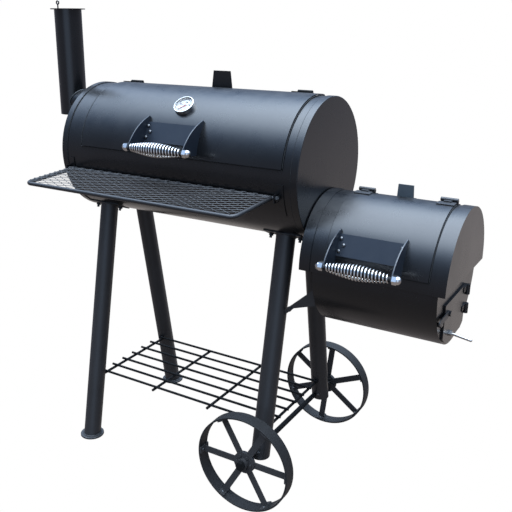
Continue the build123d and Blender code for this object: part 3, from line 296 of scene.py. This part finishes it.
def fine_scratches():
    """Handling marks on bright metal: stretched noise in two directions, and a slow tarnish."""
    group, enter, leave = shader_group(
        "fine_scratches", (("Vector", "NodeSocketVector", None),), ("Scratch", "Tarnish"))
    marks = []
    for stretch in ((40.0, 900.0, 900.0), (700.0, 60.0, 700.0)):
        mapped = node(group, "ShaderNodeMapping", values={"Scale": stretch},
                      links={"Vector": enter.outputs["Vector"]})
        marks.append(node(group, "ShaderNodeTexNoise", values={"Scale": 1.0, "Detail": 2.0},
                          links={"Vector": mapped.outputs["Vector"]}))
    mixed = node(group, "ShaderNodeMath", props={"operation": "MULTIPLY"},
                 links={0: marks[0].outputs["Fac"], 1: marks[1].outputs["Fac"]})
    tarnish = node(group, "ShaderNodeTexNoise", values={"Scale": 90.0, "Detail": 4.0},
                   links={"Vector": enter.outputs["Vector"]})
    group.links.new(mixed.outputs["Value"], leave.inputs["Scratch"])
    group.links.new(tarnish.outputs["Fac"], leave.inputs["Tarnish"])
    return group


SKIN = sprayed_skin()
DUST = settled_dust()
SCRATCH = fine_scratches()
DUST_COLOUR = (0.16, 0.15, 0.14, 1)


def blank(name):
    """A new material, its node tree, its Principled shader and its texture coordinates."""
    material = bpy.data.materials.new(name)
    material.use_nodes = True
    tree = material.node_tree
    tree.nodes.clear()
    shader = tree.nodes.new("ShaderNodeBsdfPrincipled")
    output = tree.nodes.new("ShaderNodeOutputMaterial")
    tree.links.new(shader.outputs["BSDF"], output.inputs["Surface"])
    return material, tree, shader, tree.nodes.new("ShaderNodeTexCoord")


def effect(tree, group, coord, values=()):
    """A shared effect placed in a material, on object coordinates."""
    return node(tree, "ShaderNodeGroup", props={"node_tree": group}, values=values,
                links={"Vector": coord.outputs["Object"]})


def two_tone(tree, mask, colour, first, second):
    """A mask from 0 to 1 as a blend between two strengths of one colour."""
    shades = [(*[strength * part for part in colour], 1) for strength in (first, second)]
    return node(tree, "ShaderNodeMix", props={"data_type": "RGBA"}, values={"A": shades[0], "B": shades[1]},
                links={"Factor": mask})


def ramp(tree, source, low, high):
    """A value from 0 to 1 stretched to run from low to high."""
    return node(tree, "ShaderNodeMapRange", values={"To Min": low, "To Max": high}, links={"Value": source})


def paint(name, colour, roughness, peel=0.06, dust=0.1, shine=0.5):
    """Heat-proof black paint: nearly black, satin, dimpled, a little blotchy, with a trace of dust on top."""
    material, tree, shader, coord = blank(name)
    dark, pale, unevenness = 0.7, 1.3, 0.06
    skin = effect(tree, SKIN, coord)
    dusty = effect(tree, DUST, coord, {"Amount": dust})
    tree.links.new(coord.outputs["Normal"], dusty.inputs["Facing"])
    shade = two_tone(tree, skin.outputs["Blotch"], colour, dark, pale)
    top = node(tree, "ShaderNodeMix", props={"data_type": "RGBA"}, values={"B": DUST_COLOUR},
               links={"Factor": dusty.outputs["Dust"], "A": shade.outputs["Result"]})
    tree.links.new(top.outputs["Result"], shader.inputs["Base Color"])
    gloss = ramp(tree, skin.outputs["Blotch"], roughness - unevenness, roughness + unevenness)
    rough = node(tree, "ShaderNodeMath", props={"operation": "ADD"},
                 links={0: gloss.outputs["Result"], 1: dusty.outputs["Dust"]})
    tree.links.new(rough.outputs["Value"], shader.inputs["Roughness"])
    shader.inputs["Specular IOR Level"].default_value = shine
    bump = node(tree, "ShaderNodeBump", values={"Strength": peel, "Distance": 0.0006},
                links={"Height": skin.outputs["Height"]})
    tree.links.new(bump.outputs["Normal"], shader.inputs["Normal"])
    return material


def bright_metal(name, colour, roughness, dulling):
    """Plated or bare metal: mirror-like, with fine marks that dull it and a slow tarnish."""
    material, tree, shader, coord = blank(name)
    marks = effect(tree, SCRATCH, coord)
    tone = two_tone(tree, marks.outputs["Tarnish"], colour, 1.0, 0.8)
    tree.links.new(tone.outputs["Result"], shader.inputs["Base Color"])
    rough = ramp(tree, marks.outputs["Scratch"], roughness, roughness + dulling)
    tree.links.new(rough.outputs["Result"], shader.inputs["Roughness"])
    shader.inputs["Metallic"].default_value = 1.0
    bump = node(tree, "ShaderNodeBump", values={"Strength": 0.02, "Distance": 0.0002},
                links={"Height": marks.outputs["Scratch"]})
    tree.links.new(bump.outputs["Normal"], shader.inputs["Normal"])
    return material


def printed(name, colour, roughness):
    """Flat printed enamel with a slow unevenness."""
    material, tree, shader, coord = blank(name)
    skin = effect(tree, SKIN, coord, {"Blotches per metre": 60.0})
    tone = two_tone(tree, skin.outputs["Blotch"], colour, 1.0, 0.9)
    tree.links.new(tone.outputs["Result"], shader.inputs["Base Color"])
    rough = ramp(tree, skin.outputs["Speck"], roughness, roughness + 0.1)
    tree.links.new(rough.outputs["Result"], shader.inputs["Roughness"])
    return material


def clear_glass(name):
    """Thin flat glass that hardly bends the light, with faint smears in its gloss."""
    material, tree, shader, coord = blank(name)
    skin = effect(tree, SKIN, coord, {"Blotches per metre": 45.0})
    rough = ramp(tree, skin.outputs["Blotch"], 0.0, 0.08)
    tree.links.new(rough.outputs["Result"], shader.inputs["Roughness"])
    shader.inputs["Transmission Weight"].default_value = 1.0
    shader.inputs["IOR"].default_value = 1.03
    return material


BARREL_PAINT = paint("barrel_paint", (0.0035, 0.0036, 0.004), 0.27)
# Painted sheen: the handle brackets' paint is lighter and bluer than the barrel's, standing in for sky light
# on the plate and fins
HANDLE_PAINTED_SHEEN = paint("handle_painted_sheen", (0.010, 0.0135, 0.0195), 0.29)
FRAME_PAINT = paint("frame_paint", (0.014, 0.0138, 0.0138), 0.44, peel=0.1, dust=0.05)
WHEEL_PAINT = paint("wheel_paint", (0.034, 0.0325, 0.0315), 0.56, peel=0.1, dust=0.02, shine=0.2)
RIM_PAINT = paint("rim_paint", (0.015, 0.0145, 0.014), 0.56, peel=0.1, dust=0.02, shine=0.2)
# Painted reflection: the firebox stop's light blue-grey paint stands in for the sky it reflects
STOP_PAINTED_REFLECTION = paint("stop_painted_reflection", (0.050, 0.062, 0.070), 0.4)
WIRE_PAINT = paint("wire_paint", (0.004, 0.004, 0.004), 0.75, peel=0.1, dust=0.0, shine=0.15)
SHELF_PAINT = paint("shelf_paint", (0.008, 0.008, 0.0085), 0.44, peel=0.1, dust=0.05)
MESH_PAINT = paint("mesh_paint", (0.008, 0.008, 0.0085), 0.5, peel=0.1, dust=0.03)
# Painted shade: matt black for the lines beside the lids' edges, the corners of the end caps' flanges and the
# cores inside the spring grips
SHADE_BLACK = paint("shade_black", (0.003, 0.003, 0.003), 0.85, peel=0.2, dust=0.0)
CHROME = bright_metal("chrome", (0.70, 0.68, 0.65), 0.07, 0.15)
GRATE_STEEL = bright_metal("grate_steel", (0.16, 0.15, 0.14), 0.35, 0.3)
SCREW_STEEL = bright_metal("screw_steel", (0.16, 0.16, 0.16), 0.38, 0.2)
PULL_STEEL = bright_metal("pull_steel", (0.50, 0.47, 0.43), 0.3, 0.25)
DIAL_WHITE = printed("dial_white", (0.62, 0.62, 0.61), 0.4)
DIAL_INK = printed("dial_ink", (0.16, 0.16, 0.17), 0.5)
POINTER_RED = printed("pointer_red", (0.30, 0.035, 0.025), 0.4)
DIAL_GLASS = clear_glass("dial_glass")

# Nodes with a finish of their own; every other node's finish follows the frame's material
OWN_FINISHES = (
    (BARREL_PAINT, ("chamber_shell", "left_end_cap", "right_end_cap", "main_lid", "lid_stop",
                    "firebox_hood", "firebox_left_plate", "firebox_right_plate", "firebox_tray",
                    "firebox_lid", "firebox_door", "smokestack", "stack_neck", "stack_damper",
                    "shelf_strap_left", "shelf_strap_right")),
    (HANDLE_PAINTED_SHEEN, ("main_handle_bracket", "fire_handle_bracket")),
    (STOP_PAINTED_REFLECTION, ("firebox_stop",)),
    (WIRE_PAINT, ("wire_shelf", "axle", "lid_hinge_leaf_left", "lid_hinge_leaf_right", "lid_hinge_flap_left",
                  "lid_hinge_flap_right")),
    (SHELF_PAINT, ("shelf_frame",)),
    (WHEEL_PAINT, ("front_wheel_spokes", "front_wheel_hub", "rear_wheel_spokes", "rear_wheel_hub")),
    (RIM_PAINT, ("front_wheel_rim", "rear_wheel_rim")),
    (PULL_STEEL, ("door_pull",)))
FRAME_FINISHES = {"chrome": CHROME, "grate_steel": GRATE_STEEL, "dial_face": DIAL_WHITE,
                  "dial_glass": DIAL_GLASS, "pointer_red": POINTER_RED, "black_paint": FRAME_PAINT}


def finish_nodes():
    """Every node of the part gets its finish in place of the frame's plain material."""
    own = {name: finish for finish, names in OWN_FINISHES for name in names}
    for name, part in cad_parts.items():
        plain = part.data.materials[0].name.split(".")[0]
        part.data.materials.clear()
        part.data.materials.append(own.get(name) or FRAME_FINISHES[plain])


def belly(share):
    """The swell along a grip: 1 half way, falling to 0 at the ends with the power 1.5 of the distance."""
    return 1 - np.abs(2 * share - 1) ** 1.5


def spring_grip(node_name, body):
    """A spring of round wire: its centre circles the rod and moves along it, and the circle swells midway."""
    end_radius, swell, steps_per_turn = 8.3, 10.7, 40
    low, high = box_mm(node_name)
    rod = (low + high) / 2
    share = np.linspace(0, 1, GRIP_TURNS * steps_per_turn + 1)
    radius = end_radius + swell * belly(share)
    turn = 2 * pi * GRIP_TURNS * share
    along = low[0] + 2 * GRIP_WIRE + share * (high[0] - low[0] - 4 * GRIP_WIRE)
    path = np.stack((along, rod[1] + radius * np.cos(turn), rod[2] + radius * np.sin(turn)), -1)
    shape = tube(path, GRIP_WIRE, up=(1, 0, 0))
    make(node_name.replace("coil", "spring"), shape, CHROME, body, (node_name,))


def grip_shade_core(node_name, body):
    """A matt black core on the rod inside a spring grip, bellied a little less than the spring: painted shade
    that darkens the gaps between the turns.
    """
    end_radius, swell, end_gap = 5.7, 5.0, 0.5
    low, high = box_mm(node_name)
    share = np.linspace(0, 1, 25)
    path = np.tile((low + high) / 2, (len(share), 1))
    path[:, 0] = low[0] + end_gap + share * (high[0] - low[0] - 2 * end_gap)
    shape = tube(path, end_radius + swell * belly(share), 20)
    make(node_name.replace("coil", "shade_core"), shape, SHADE_BLACK, body)


def expanded_mesh():
    """Expanded sheet: each row is a strand of leaning rectangular section that swings a quarter of the short
    way to either side once per long way, as a triangle wave with blunt tips. Neighbouring strands swing apart
    and meet at the bonds, and a short tack at each bond of the last row ties it to the rear rod."""
    long_way, short_way, blunt, steps_per_half = 36.4, 20.6, 0.96, 6
    first_bond = SHELF_LEFT + 16.8
    wide, thick, lean = 1.4, 1.2, radians(32)
    tack_reach, tack_radius, tack_rise, end_room = 7.0, 1.5, 0.4, 12.0
    rows = int((SHELF_REAR - SHELF_FRONT) / (short_way / 2))
    steps = int((SHELF_RIGHT - SHELF_LEFT) / (long_way / 2)) * steps_per_half + 1
    x = np.linspace(SHELF_LEFT, SHELF_RIGHT, steps)
    phase = (x - first_bond) / long_way * 2 * pi
    swing = np.arcsin(blunt * np.cos(phase)) / np.arcsin(blunt) * short_way / 4
    row = np.arange(rows)[:, None]
    y = SHELF_FRONT + (row + 0.5) * short_way / 2 + swing * np.where(row % 2, 1, -1)
    x = np.broadcast_to(x, y.shape)
    level = SHELF_TOP - SHELF_MESH / 2 + SHELF_RISE * (y - SHELF_FRONT) / (SHELF_REAR - SHELF_FRONT)
    corners = np.array(((-wide, -thick), (wide, -thick), (wide, thick), (-wide, thick))) / 2
    corner_y = corners[:, 0] * cos(lean) - corners[:, 1] * sin(lean)
    corner_z = corners[:, 0] * sin(lean) + corners[:, 1] * cos(lean)
    points = np.stack((np.broadcast_to(x[..., None], (*x.shape, 4)), y[..., None] + corner_y,
                       level[..., None] + corner_z), -1)
    shapes = []
    for strand in points:
        depth = np.clip(SHELF_CORNER - (strand[:, :, 1].mean() - SHELF_FRONT), 0, SHELF_CORNER)
        inset = SHELF_CORNER - np.sqrt(SHELF_CORNER**2 - depth**2)
        station = strand[:, 0, 0]
        strand = strand[(station >= SHELF_LEFT + inset) & (station <= SHELF_RIGHT - inset)]
        shape_points, faces = skin_of(strand)
        shapes.append((shape_points, faces + end_faces(len(strand), 4)))
    rear, top = y.max() + wide / 2, level.max() + tack_rise
    for bond in np.arange(first_bond, SHELF_RIGHT - end_room, long_way):
        ends = [(bond + side * tack_reach, rear, top) for side in (-1, 1)]
        shapes.append(tube(ends, tack_radius, 6))
    make("shelf_expanded_mesh", merge(shapes), MESH_PAINT, "base", ("shelf_mesh",))


def lid_shade_line(name, shell_radius, height, left, right, front, rear):
    """A matt black rope round three edges of a lid, painted shade for the dark gap line there: an arc up each
    side and a straight run along the front.
    """
    rope, proud, drop = 1.5, 1.6, 0.5
    shell = shell_radius + proud
    arc = np.linspace(rear, front - drop, 60)
    run = np.linspace(left, right, 40)[1:-1]
    path = np.concatenate((on_barrel(left, shell, arc, height), on_barrel(run, shell, front - drop, height),
                           on_barrel(right, shell, arc[::-1], height)))
    make(name, tube(path, rope, 10, up=(0.3, 0.2, 1)), SHADE_BLACK, "base")


def flange_shade_lines():
    """A matt black line in the corner where each end cap's flange stops on the barrel, painted shade of that
    corner.
    """
    shade_line_radius, proud, tuck = 1.2, 0.9, 0.8
    circle = np.linspace(0, 360, 180, endpoint=False)
    shapes = []
    for x in (tuck - FLANGE_EDGE, FLANGE_EDGE - tuck):
        path = on_barrel(x, BARREL_RADIUS + proud, circle, BARREL_HEIGHT)
        shapes.append(tube(path, shade_line_radius, 8, True, (1, 0, 0)))
    make("flange_shade_lines", merge(shapes), SHADE_BLACK, "base")


def handle_screws(handle, body, lid_radius, height):
    """Round screw heads on a handle's plate: a triangle at the left end and a column at the right end."""
    inset, spread, step = 9.5, 17.0, 10.0
    head_radius, head_height = 4.8, 2.8
    left, right = span(f"{handle}_bracket", "x")
    out, along = out_and_up(PLATE_ANGLE)
    plate = on_barrel(0, lid_radius + PLATE_RISE, PLATE_ANGLE, height)
    heads = []
    for end, shift in ((left + inset, step), (right - inset, 0)):
        for x, up in ((end, spread), (end, -spread), (end + shift, 0)):
            heads.append(dome(plate + (x, 0, 0) + up * along, out, head_radius, head_height))
    make(f"{handle}_screws", merge(heads), SCREW_STEEL, body)


# Strokes of the dial's figures in a cell one wide and two high
FIGURES = {
    "0": ((0.15, 0), (0.85, 0), (1, 0.3), (1, 1.7), (0.85, 2), (0.15, 2), (0, 1.7), (0, 0.3), (0.15, 0)),
    "1": ((0.2, 1.6), (0.55, 2), (0.55, 0)),
    "2": ((0, 1.6), (0.2, 2), (0.8, 2), (1, 1.6), (0.9, 1.1), (0, 0), (1, 0)),
    "3": ((0, 2), (0.8, 2), (1, 1.6), (0.8, 1.15), (0.4, 1.1), (0.8, 1.05), (1, 0.6), (0.8, 0), (0, 0)),
    "4": ((0.75, 0), (0.75, 2), (0, 0.6), (1, 0.6)),
    "5": ((1, 2), (0.1, 2), (0, 1.1), (0.7, 1.15), (1, 0.8), (1, 0.3), (0.75, 0), (0, 0.05)),
}


def dial_print():
    """Ticks round the dial, each a thin bar aimed at the middle, and figures 100 to 500 as raised strokes."""
    hundreds, ticks_each = 5, 10
    start, sweep = radians(225), radians(270)
    tick_outer, long_inner, short_inner, long_half, short_half = 25.8, 21.5, 23.5, 0.45, 0.25
    ring, size, step, stroke = 15.5, 2.2, 3.1, 0.3
    out, over = out_and_up(DIAL_ANGLE)
    centre = on_barrel(DIAL_STATION, DIAL_FACE, DIAL_ANGLE, BARREL_HEIGHT)
    flat_to_dial = np.array(((1.0, 0, 0), over))
    ticks = (hundreds - 1) * ticks_each
    shapes = []
    for number in range(ticks + 1):
        turn = start - sweep * number / ticks
        ray = np.array((cos(turn), sin(turn)))
        inner, half = (short_inner, short_half) if number % ticks_each else (long_inner, long_half)
        bar = np.array((inner * ray, tick_outer * ray))
        shapes.append(tube(centre + bar @ flat_to_dial, half, 6, up=out))
    for number in range(hundreds):
        turn = start - sweep * number / (hundreds - 1)
        corner = np.array((ring * cos(turn) - 2 * size, ring * sin(turn) - size))
        for place, figure in enumerate(f"{number + 1}00"):
            strokes = np.array(FIGURES[figure]) * size + corner + (step * place, 0)
            shapes.append(tube(centre + strokes @ flat_to_dial, stroke, 6, up=out))
    make("dial_print", merge(shapes), DIAL_INK, "main_lid")


def wheel_rivets(place):
    """Two round rivet heads on the bent foot of every spoke, facing the axle."""
    aside, head_radius, head_height = 8.5, 3.6, 2.4
    hub = centre_of(f"{place}_wheel_rim")
    heads = []
    for number in range(SPOKE_COUNT):
        turn = radians(SPOKE_TURNS[place] + 360 / SPOKE_COUNT * number)
        out = np.array((cos(turn), 0, sin(turn)))
        for side in (-aside, aside):
            heads.append(dome(hub + (0, side, 0) + SPOKE_FOOT * out, -out, head_radius, head_height, 12, 4))
    make(f"{place}_wheel_rivets", merge(heads), SCREW_STEEL, f"{place}_wheel")


def leg_welds():
    """Weld beads where each leg's tube meets its saddle, and where the left tubes meet their foot discs: a
    circle just outside the tube, each point slid along the leg to the saddle's round or to the disc's top."""
    proud, thick, dab = 0.6, 2.4, 7.0
    turn = np.linspace(0, 2 * pi, 72, endpoint=False)[:, None]
    across = np.array((1.0, 0, 0))
    shapes = []
    for side in ("left", "right"):
        for end, hand in (("front", -1), ("rear", 1)):
            station = centre_of(f"leg_{end}_{side}")[0]
            run = unit((0, -hand * LEG_SPLAY, 1))
            circle = np.cos(turn) * across + np.sin(turn) * np.cross(run, across)
            start = (station, hand * LEG_DEPTH, 0) + (LEG_RADIUS + proud) * circle
            from_axis = start[:, 1:] - (0, BARREL_HEIGHT)
            nearest = -(from_axis * run[1:]).sum(1)
            to_saddle = nearest - np.sqrt(nearest**2 - (from_axis**2).sum(1) + SADDLE_RADIUS**2)
            slides = [to_saddle]
            if side == "left":
                slides.append((FOOT_TOP - start[:, 2]) / run[2])
            for slide in slides:
                shapes.append(bead(start + slide[:, None] * run, thick, dab, (0.2, 0.1, 1)))
    make("leg_welds", merge(shapes), FRAME_PAINT, "base", crease=70)


def neck_welds():
    """Weld beads round the stack's neck: a circle on the end cap, and one bent to the round of the pipe."""
    proud, thick, dab = 0.5, 2.6, 8.0
    turn = np.linspace(0, 2 * pi, 96, endpoint=False)
    y = (NECK_RADIUS + proud) * np.cos(turn)
    z = NECK_LEVEL + (NECK_RADIUS + proud) * np.sin(turn)
    at_cap = np.full_like(y, -BARREL_END - proud)
    at_pipe = STACK_STATION + np.sqrt(STACK_RADIUS**2 - y**2)
    shapes = [bead(np.stack((x, y, z), -1), thick, dab, (1, 0, 0)) for x in (at_cap, at_pipe)]
    make("neck_welds", merge(shapes), FRAME_PAINT, "base", crease=70)


def bolt_ends():
    """Bright ends left bare: the shelf rod's two ends, and a small bolt head low on each right leg."""
    rod_level = SHELF_TOP - SHELF_MESH - SHELF_ROD + SHELF_RISE
    rod_ends = ((SHELF_RIGHT + SHELF_OVERHANG, 1), (SHELF_LEFT - SHELF_OVERHANG, -1))
    rod_radius, rod_crown = SHELF_ROD - 0.2, 3.0
    shapes = [dome((x, SHELF_REAR, rod_level), (side, 0, 0), rod_radius, rod_crown) for x, side in rod_ends]
    bolt_station, bolt_level, bolt_radius, bolt_height = 333.0, 158.0, 4.5, 3.5
    sunk, turn_right, dip = 0.8, 0.2, 0.19
    for hand in (-1, 1):
        face = hand * (LEG_DEPTH - LEG_SPLAY * bolt_level) - LEG_RADIUS + sunk
        out = (turn_right, -1, -dip * hand)
        shapes.append(hex_head((bolt_station, face, bolt_level), out, bolt_radius, bolt_height))
    make("bolt_ends", merge(shapes), SCREW_STEEL, "base")


finish_nodes()
spring_grip("main_handle_coil", "main_lid")
spring_grip("fire_handle_coil", "firebox_lid")
expanded_mesh()
# Painted shade: matt black lines along the lids' edges stand in for the dark gaps there
lid_shade_line("main_lid_seal", BARREL_RADIUS, BARREL_HEIGHT, LID_LEFT - LEFT_SHADE_LINE_GAP, LID_RIGHT + SHADE_LINE_GAP,
         LID_FRONT, LID_REAR)
lid_shade_line("fire_lid_seal", FIREBOX_RADIUS, FIREBOX_HEIGHT, FIRE_LID_LEFT - SHADE_LINE_GAP, FIRE_LID_RIGHT + SHADE_LINE_GAP,
         FIRE_LID_FRONT, FIRE_LID_REAR)
flange_shade_lines()
handle_screws("main_handle", "main_lid", LID_RADIUS, BARREL_HEIGHT)
handle_screws("fire_handle", "firebox_lid", FIRE_LID_RADIUS, FIREBOX_HEIGHT)
dial_print()
grip_shade_core("main_handle_coil", "main_lid")
grip_shade_core("fire_handle_coil", "firebox_lid")
wheel_rivets("front")
wheel_rivets("rear")
leg_welds()
neck_welds()
bolt_ends()


def white_floor():
    """A wide square of ground: plain white to the camera, but no light on the smoker and no reflection."""
    reach = 30.0
    mesh = bpy.data.meshes.new("floor")
    mesh.from_pydata([(-reach, -reach, 0), (reach, -reach, 0), (reach, reach, 0), (-reach, reach, 0)], [],
                     [(0, 1, 2, 3)])
    material, _, shader, _ = blank("pale_floor")
    shader.inputs["Base Color"].default_value = (0, 0, 0, 1)
    shader.inputs["Emission Color"].default_value = (1, 1, 1, 1)
    shader.inputs["Emission Strength"].default_value = 1.0
    shader.inputs["Roughness"].default_value = 0.9
    shader.inputs["Specular IOR Level"].default_value = 0.0
    mesh.materials.append(material)
    floor = bpy.data.objects.new("floor", mesh)
    bpy.context.scene.collection.objects.link(floor)
    floor.visible_diffuse = False
    floor.visible_glossy = False


# Colours of the sky from straight down, at 0, to straight up, at 1
SKY_STOPS = ((0.0, (0.034, 0.031, 0.031)), (0.25, (0.026, 0.024, 0.025)), (0.42, (0.030, 0.029, 0.034)),
             (0.52, (0.027, 0.029, 0.036)), (0.68, (0.026, 0.035, 0.052)), (0.77, (0.042, 0.062, 0.100)),
             (0.82, (0.084, 0.124, 0.195)), (0.88, (0.28, 0.36, 0.48)), (0.935, (0.66, 0.79, 0.96)),
             (1.0, (0.80, 0.93, 1.12)))
# Soft patches: direction, the cosines where each starts and where it is full, and colour. Warm ground lies
# low behind the smoker on the right and on the left, and open sky behind the camera and high on the far left
SKY_PATCHES = (((0.24, 0.87, -0.43), 0.90, 1.0, (0.030, 0.027, 0.023)),
               ((-0.64, 0.60, -0.47), 0.88, 1.0, (0.040, 0.037, 0.034)),
               ((0.44, -0.89, 0.08), 0.84, 0.99, (0.050, 0.068, 0.094)),
               ((-0.78, 0.36, 0.51), 0.95, 0.995, (0.11, 0.13, 0.16)))
SKY_STRENGTH = 10.0


def open_sky():
    """Light from all round: a colour by height with the soft patches added, and plain white to the camera."""
    world = bpy.data.worlds.new("studio")
    bpy.context.scene.world = world
    world.use_nodes = True
    sky = world.node_tree
    sky.nodes.clear()
    direction = sky.nodes.new("ShaderNodeTexCoord").outputs["Generated"]
    height = node(sky, "ShaderNodeSeparateXYZ", links={"Vector": direction})
    share_up = node(sky, "ShaderNodeMapRange", values={"From Min": -1.0, "From Max": 1.0},
                    links={"Value": height.outputs["Z"]})
    shades = node(sky, "ShaderNodeValToRGB", links={"Fac": share_up.outputs["Result"]})
    ladder = shades.color_ramp.elements
    for position, _ in SKY_STOPS[1:-1]:
        ladder.new(position)
    for element, (position, colour) in zip(ladder, SKY_STOPS):
        element.position = position
        element.color = (*colour, 1)
    light = shades.outputs["Color"]
    for aim, edge, core, colour in SKY_PATCHES:
        near = node(sky, "ShaderNodeVectorMath", props={"operation": "DOT_PRODUCT"},
                    values={1: unit(aim).tolist()}, links={0: direction})
        weight = node(sky, "ShaderNodeMapRange", props={"interpolation_type": "SMOOTHSTEP"},
                      values={"From Min": edge, "From Max": core}, links={"Value": near.outputs["Value"]})
        added = node(sky, "ShaderNodeMix", props={"data_type": "RGBA", "blend_type": "ADD"},
                     values={"B": (*colour, 1)}, links={"Factor": weight.outputs["Result"], "A": light})
        light = added.outputs["Result"]
    glow = node(sky, "ShaderNodeBackground", values={"Strength": SKY_STRENGTH}, links={"Color": light})
    backdrop = node(sky, "ShaderNodeBackground", values={"Color": (1, 1, 1, 1), "Strength": 1.0})
    seen = sky.nodes.new("ShaderNodeLightPath")
    either = node(sky, "ShaderNodeMixShader",
                  links={0: seen.outputs["Is Camera Ray"], 1: glow.outputs["Background"],
                         2: backdrop.outputs["Background"]})
    node(sky, "ShaderNodeOutputWorld", links={"Surface": either.outputs["Shader"]})
    bpy.context.scene.view_settings.view_transform = "Standard"


def photo_camera():
    """The camera at the photograph's viewpoint: turned about the vertical, dipped, and rolled by a hair."""
    place = (1.09833, -1.78269, 1.38084)
    turn, dip, roll = radians(31.82), radians(18.52), radians(0.246)
    forward = np.array((-sin(turn) * cos(dip), cos(turn) * cos(dip), -sin(dip)))
    level_right = np.array((cos(turn), sin(turn), 0))
    level_up = np.cross(level_right, forward)
    right = cos(roll) * level_right + sin(roll) * level_up
    up = cos(roll) * level_up - sin(roll) * level_right
    optics = bpy.data.cameras.new("camera")
    optics.sensor_width = 36.0
    optics.lens = 50.08
    optics.shift_x = 0.0462
    optics.shift_y = 0.003
    camera = bpy.data.objects.new("camera", optics)
    camera.matrix_world = Matrix([*np.column_stack((right, up, -forward, place)).tolist(), (0, 0, 0, 1)])
    bpy.context.scene.collection.objects.link(camera)
    bpy.context.scene.camera = camera


white_floor()
open_sky()
photo_camera()
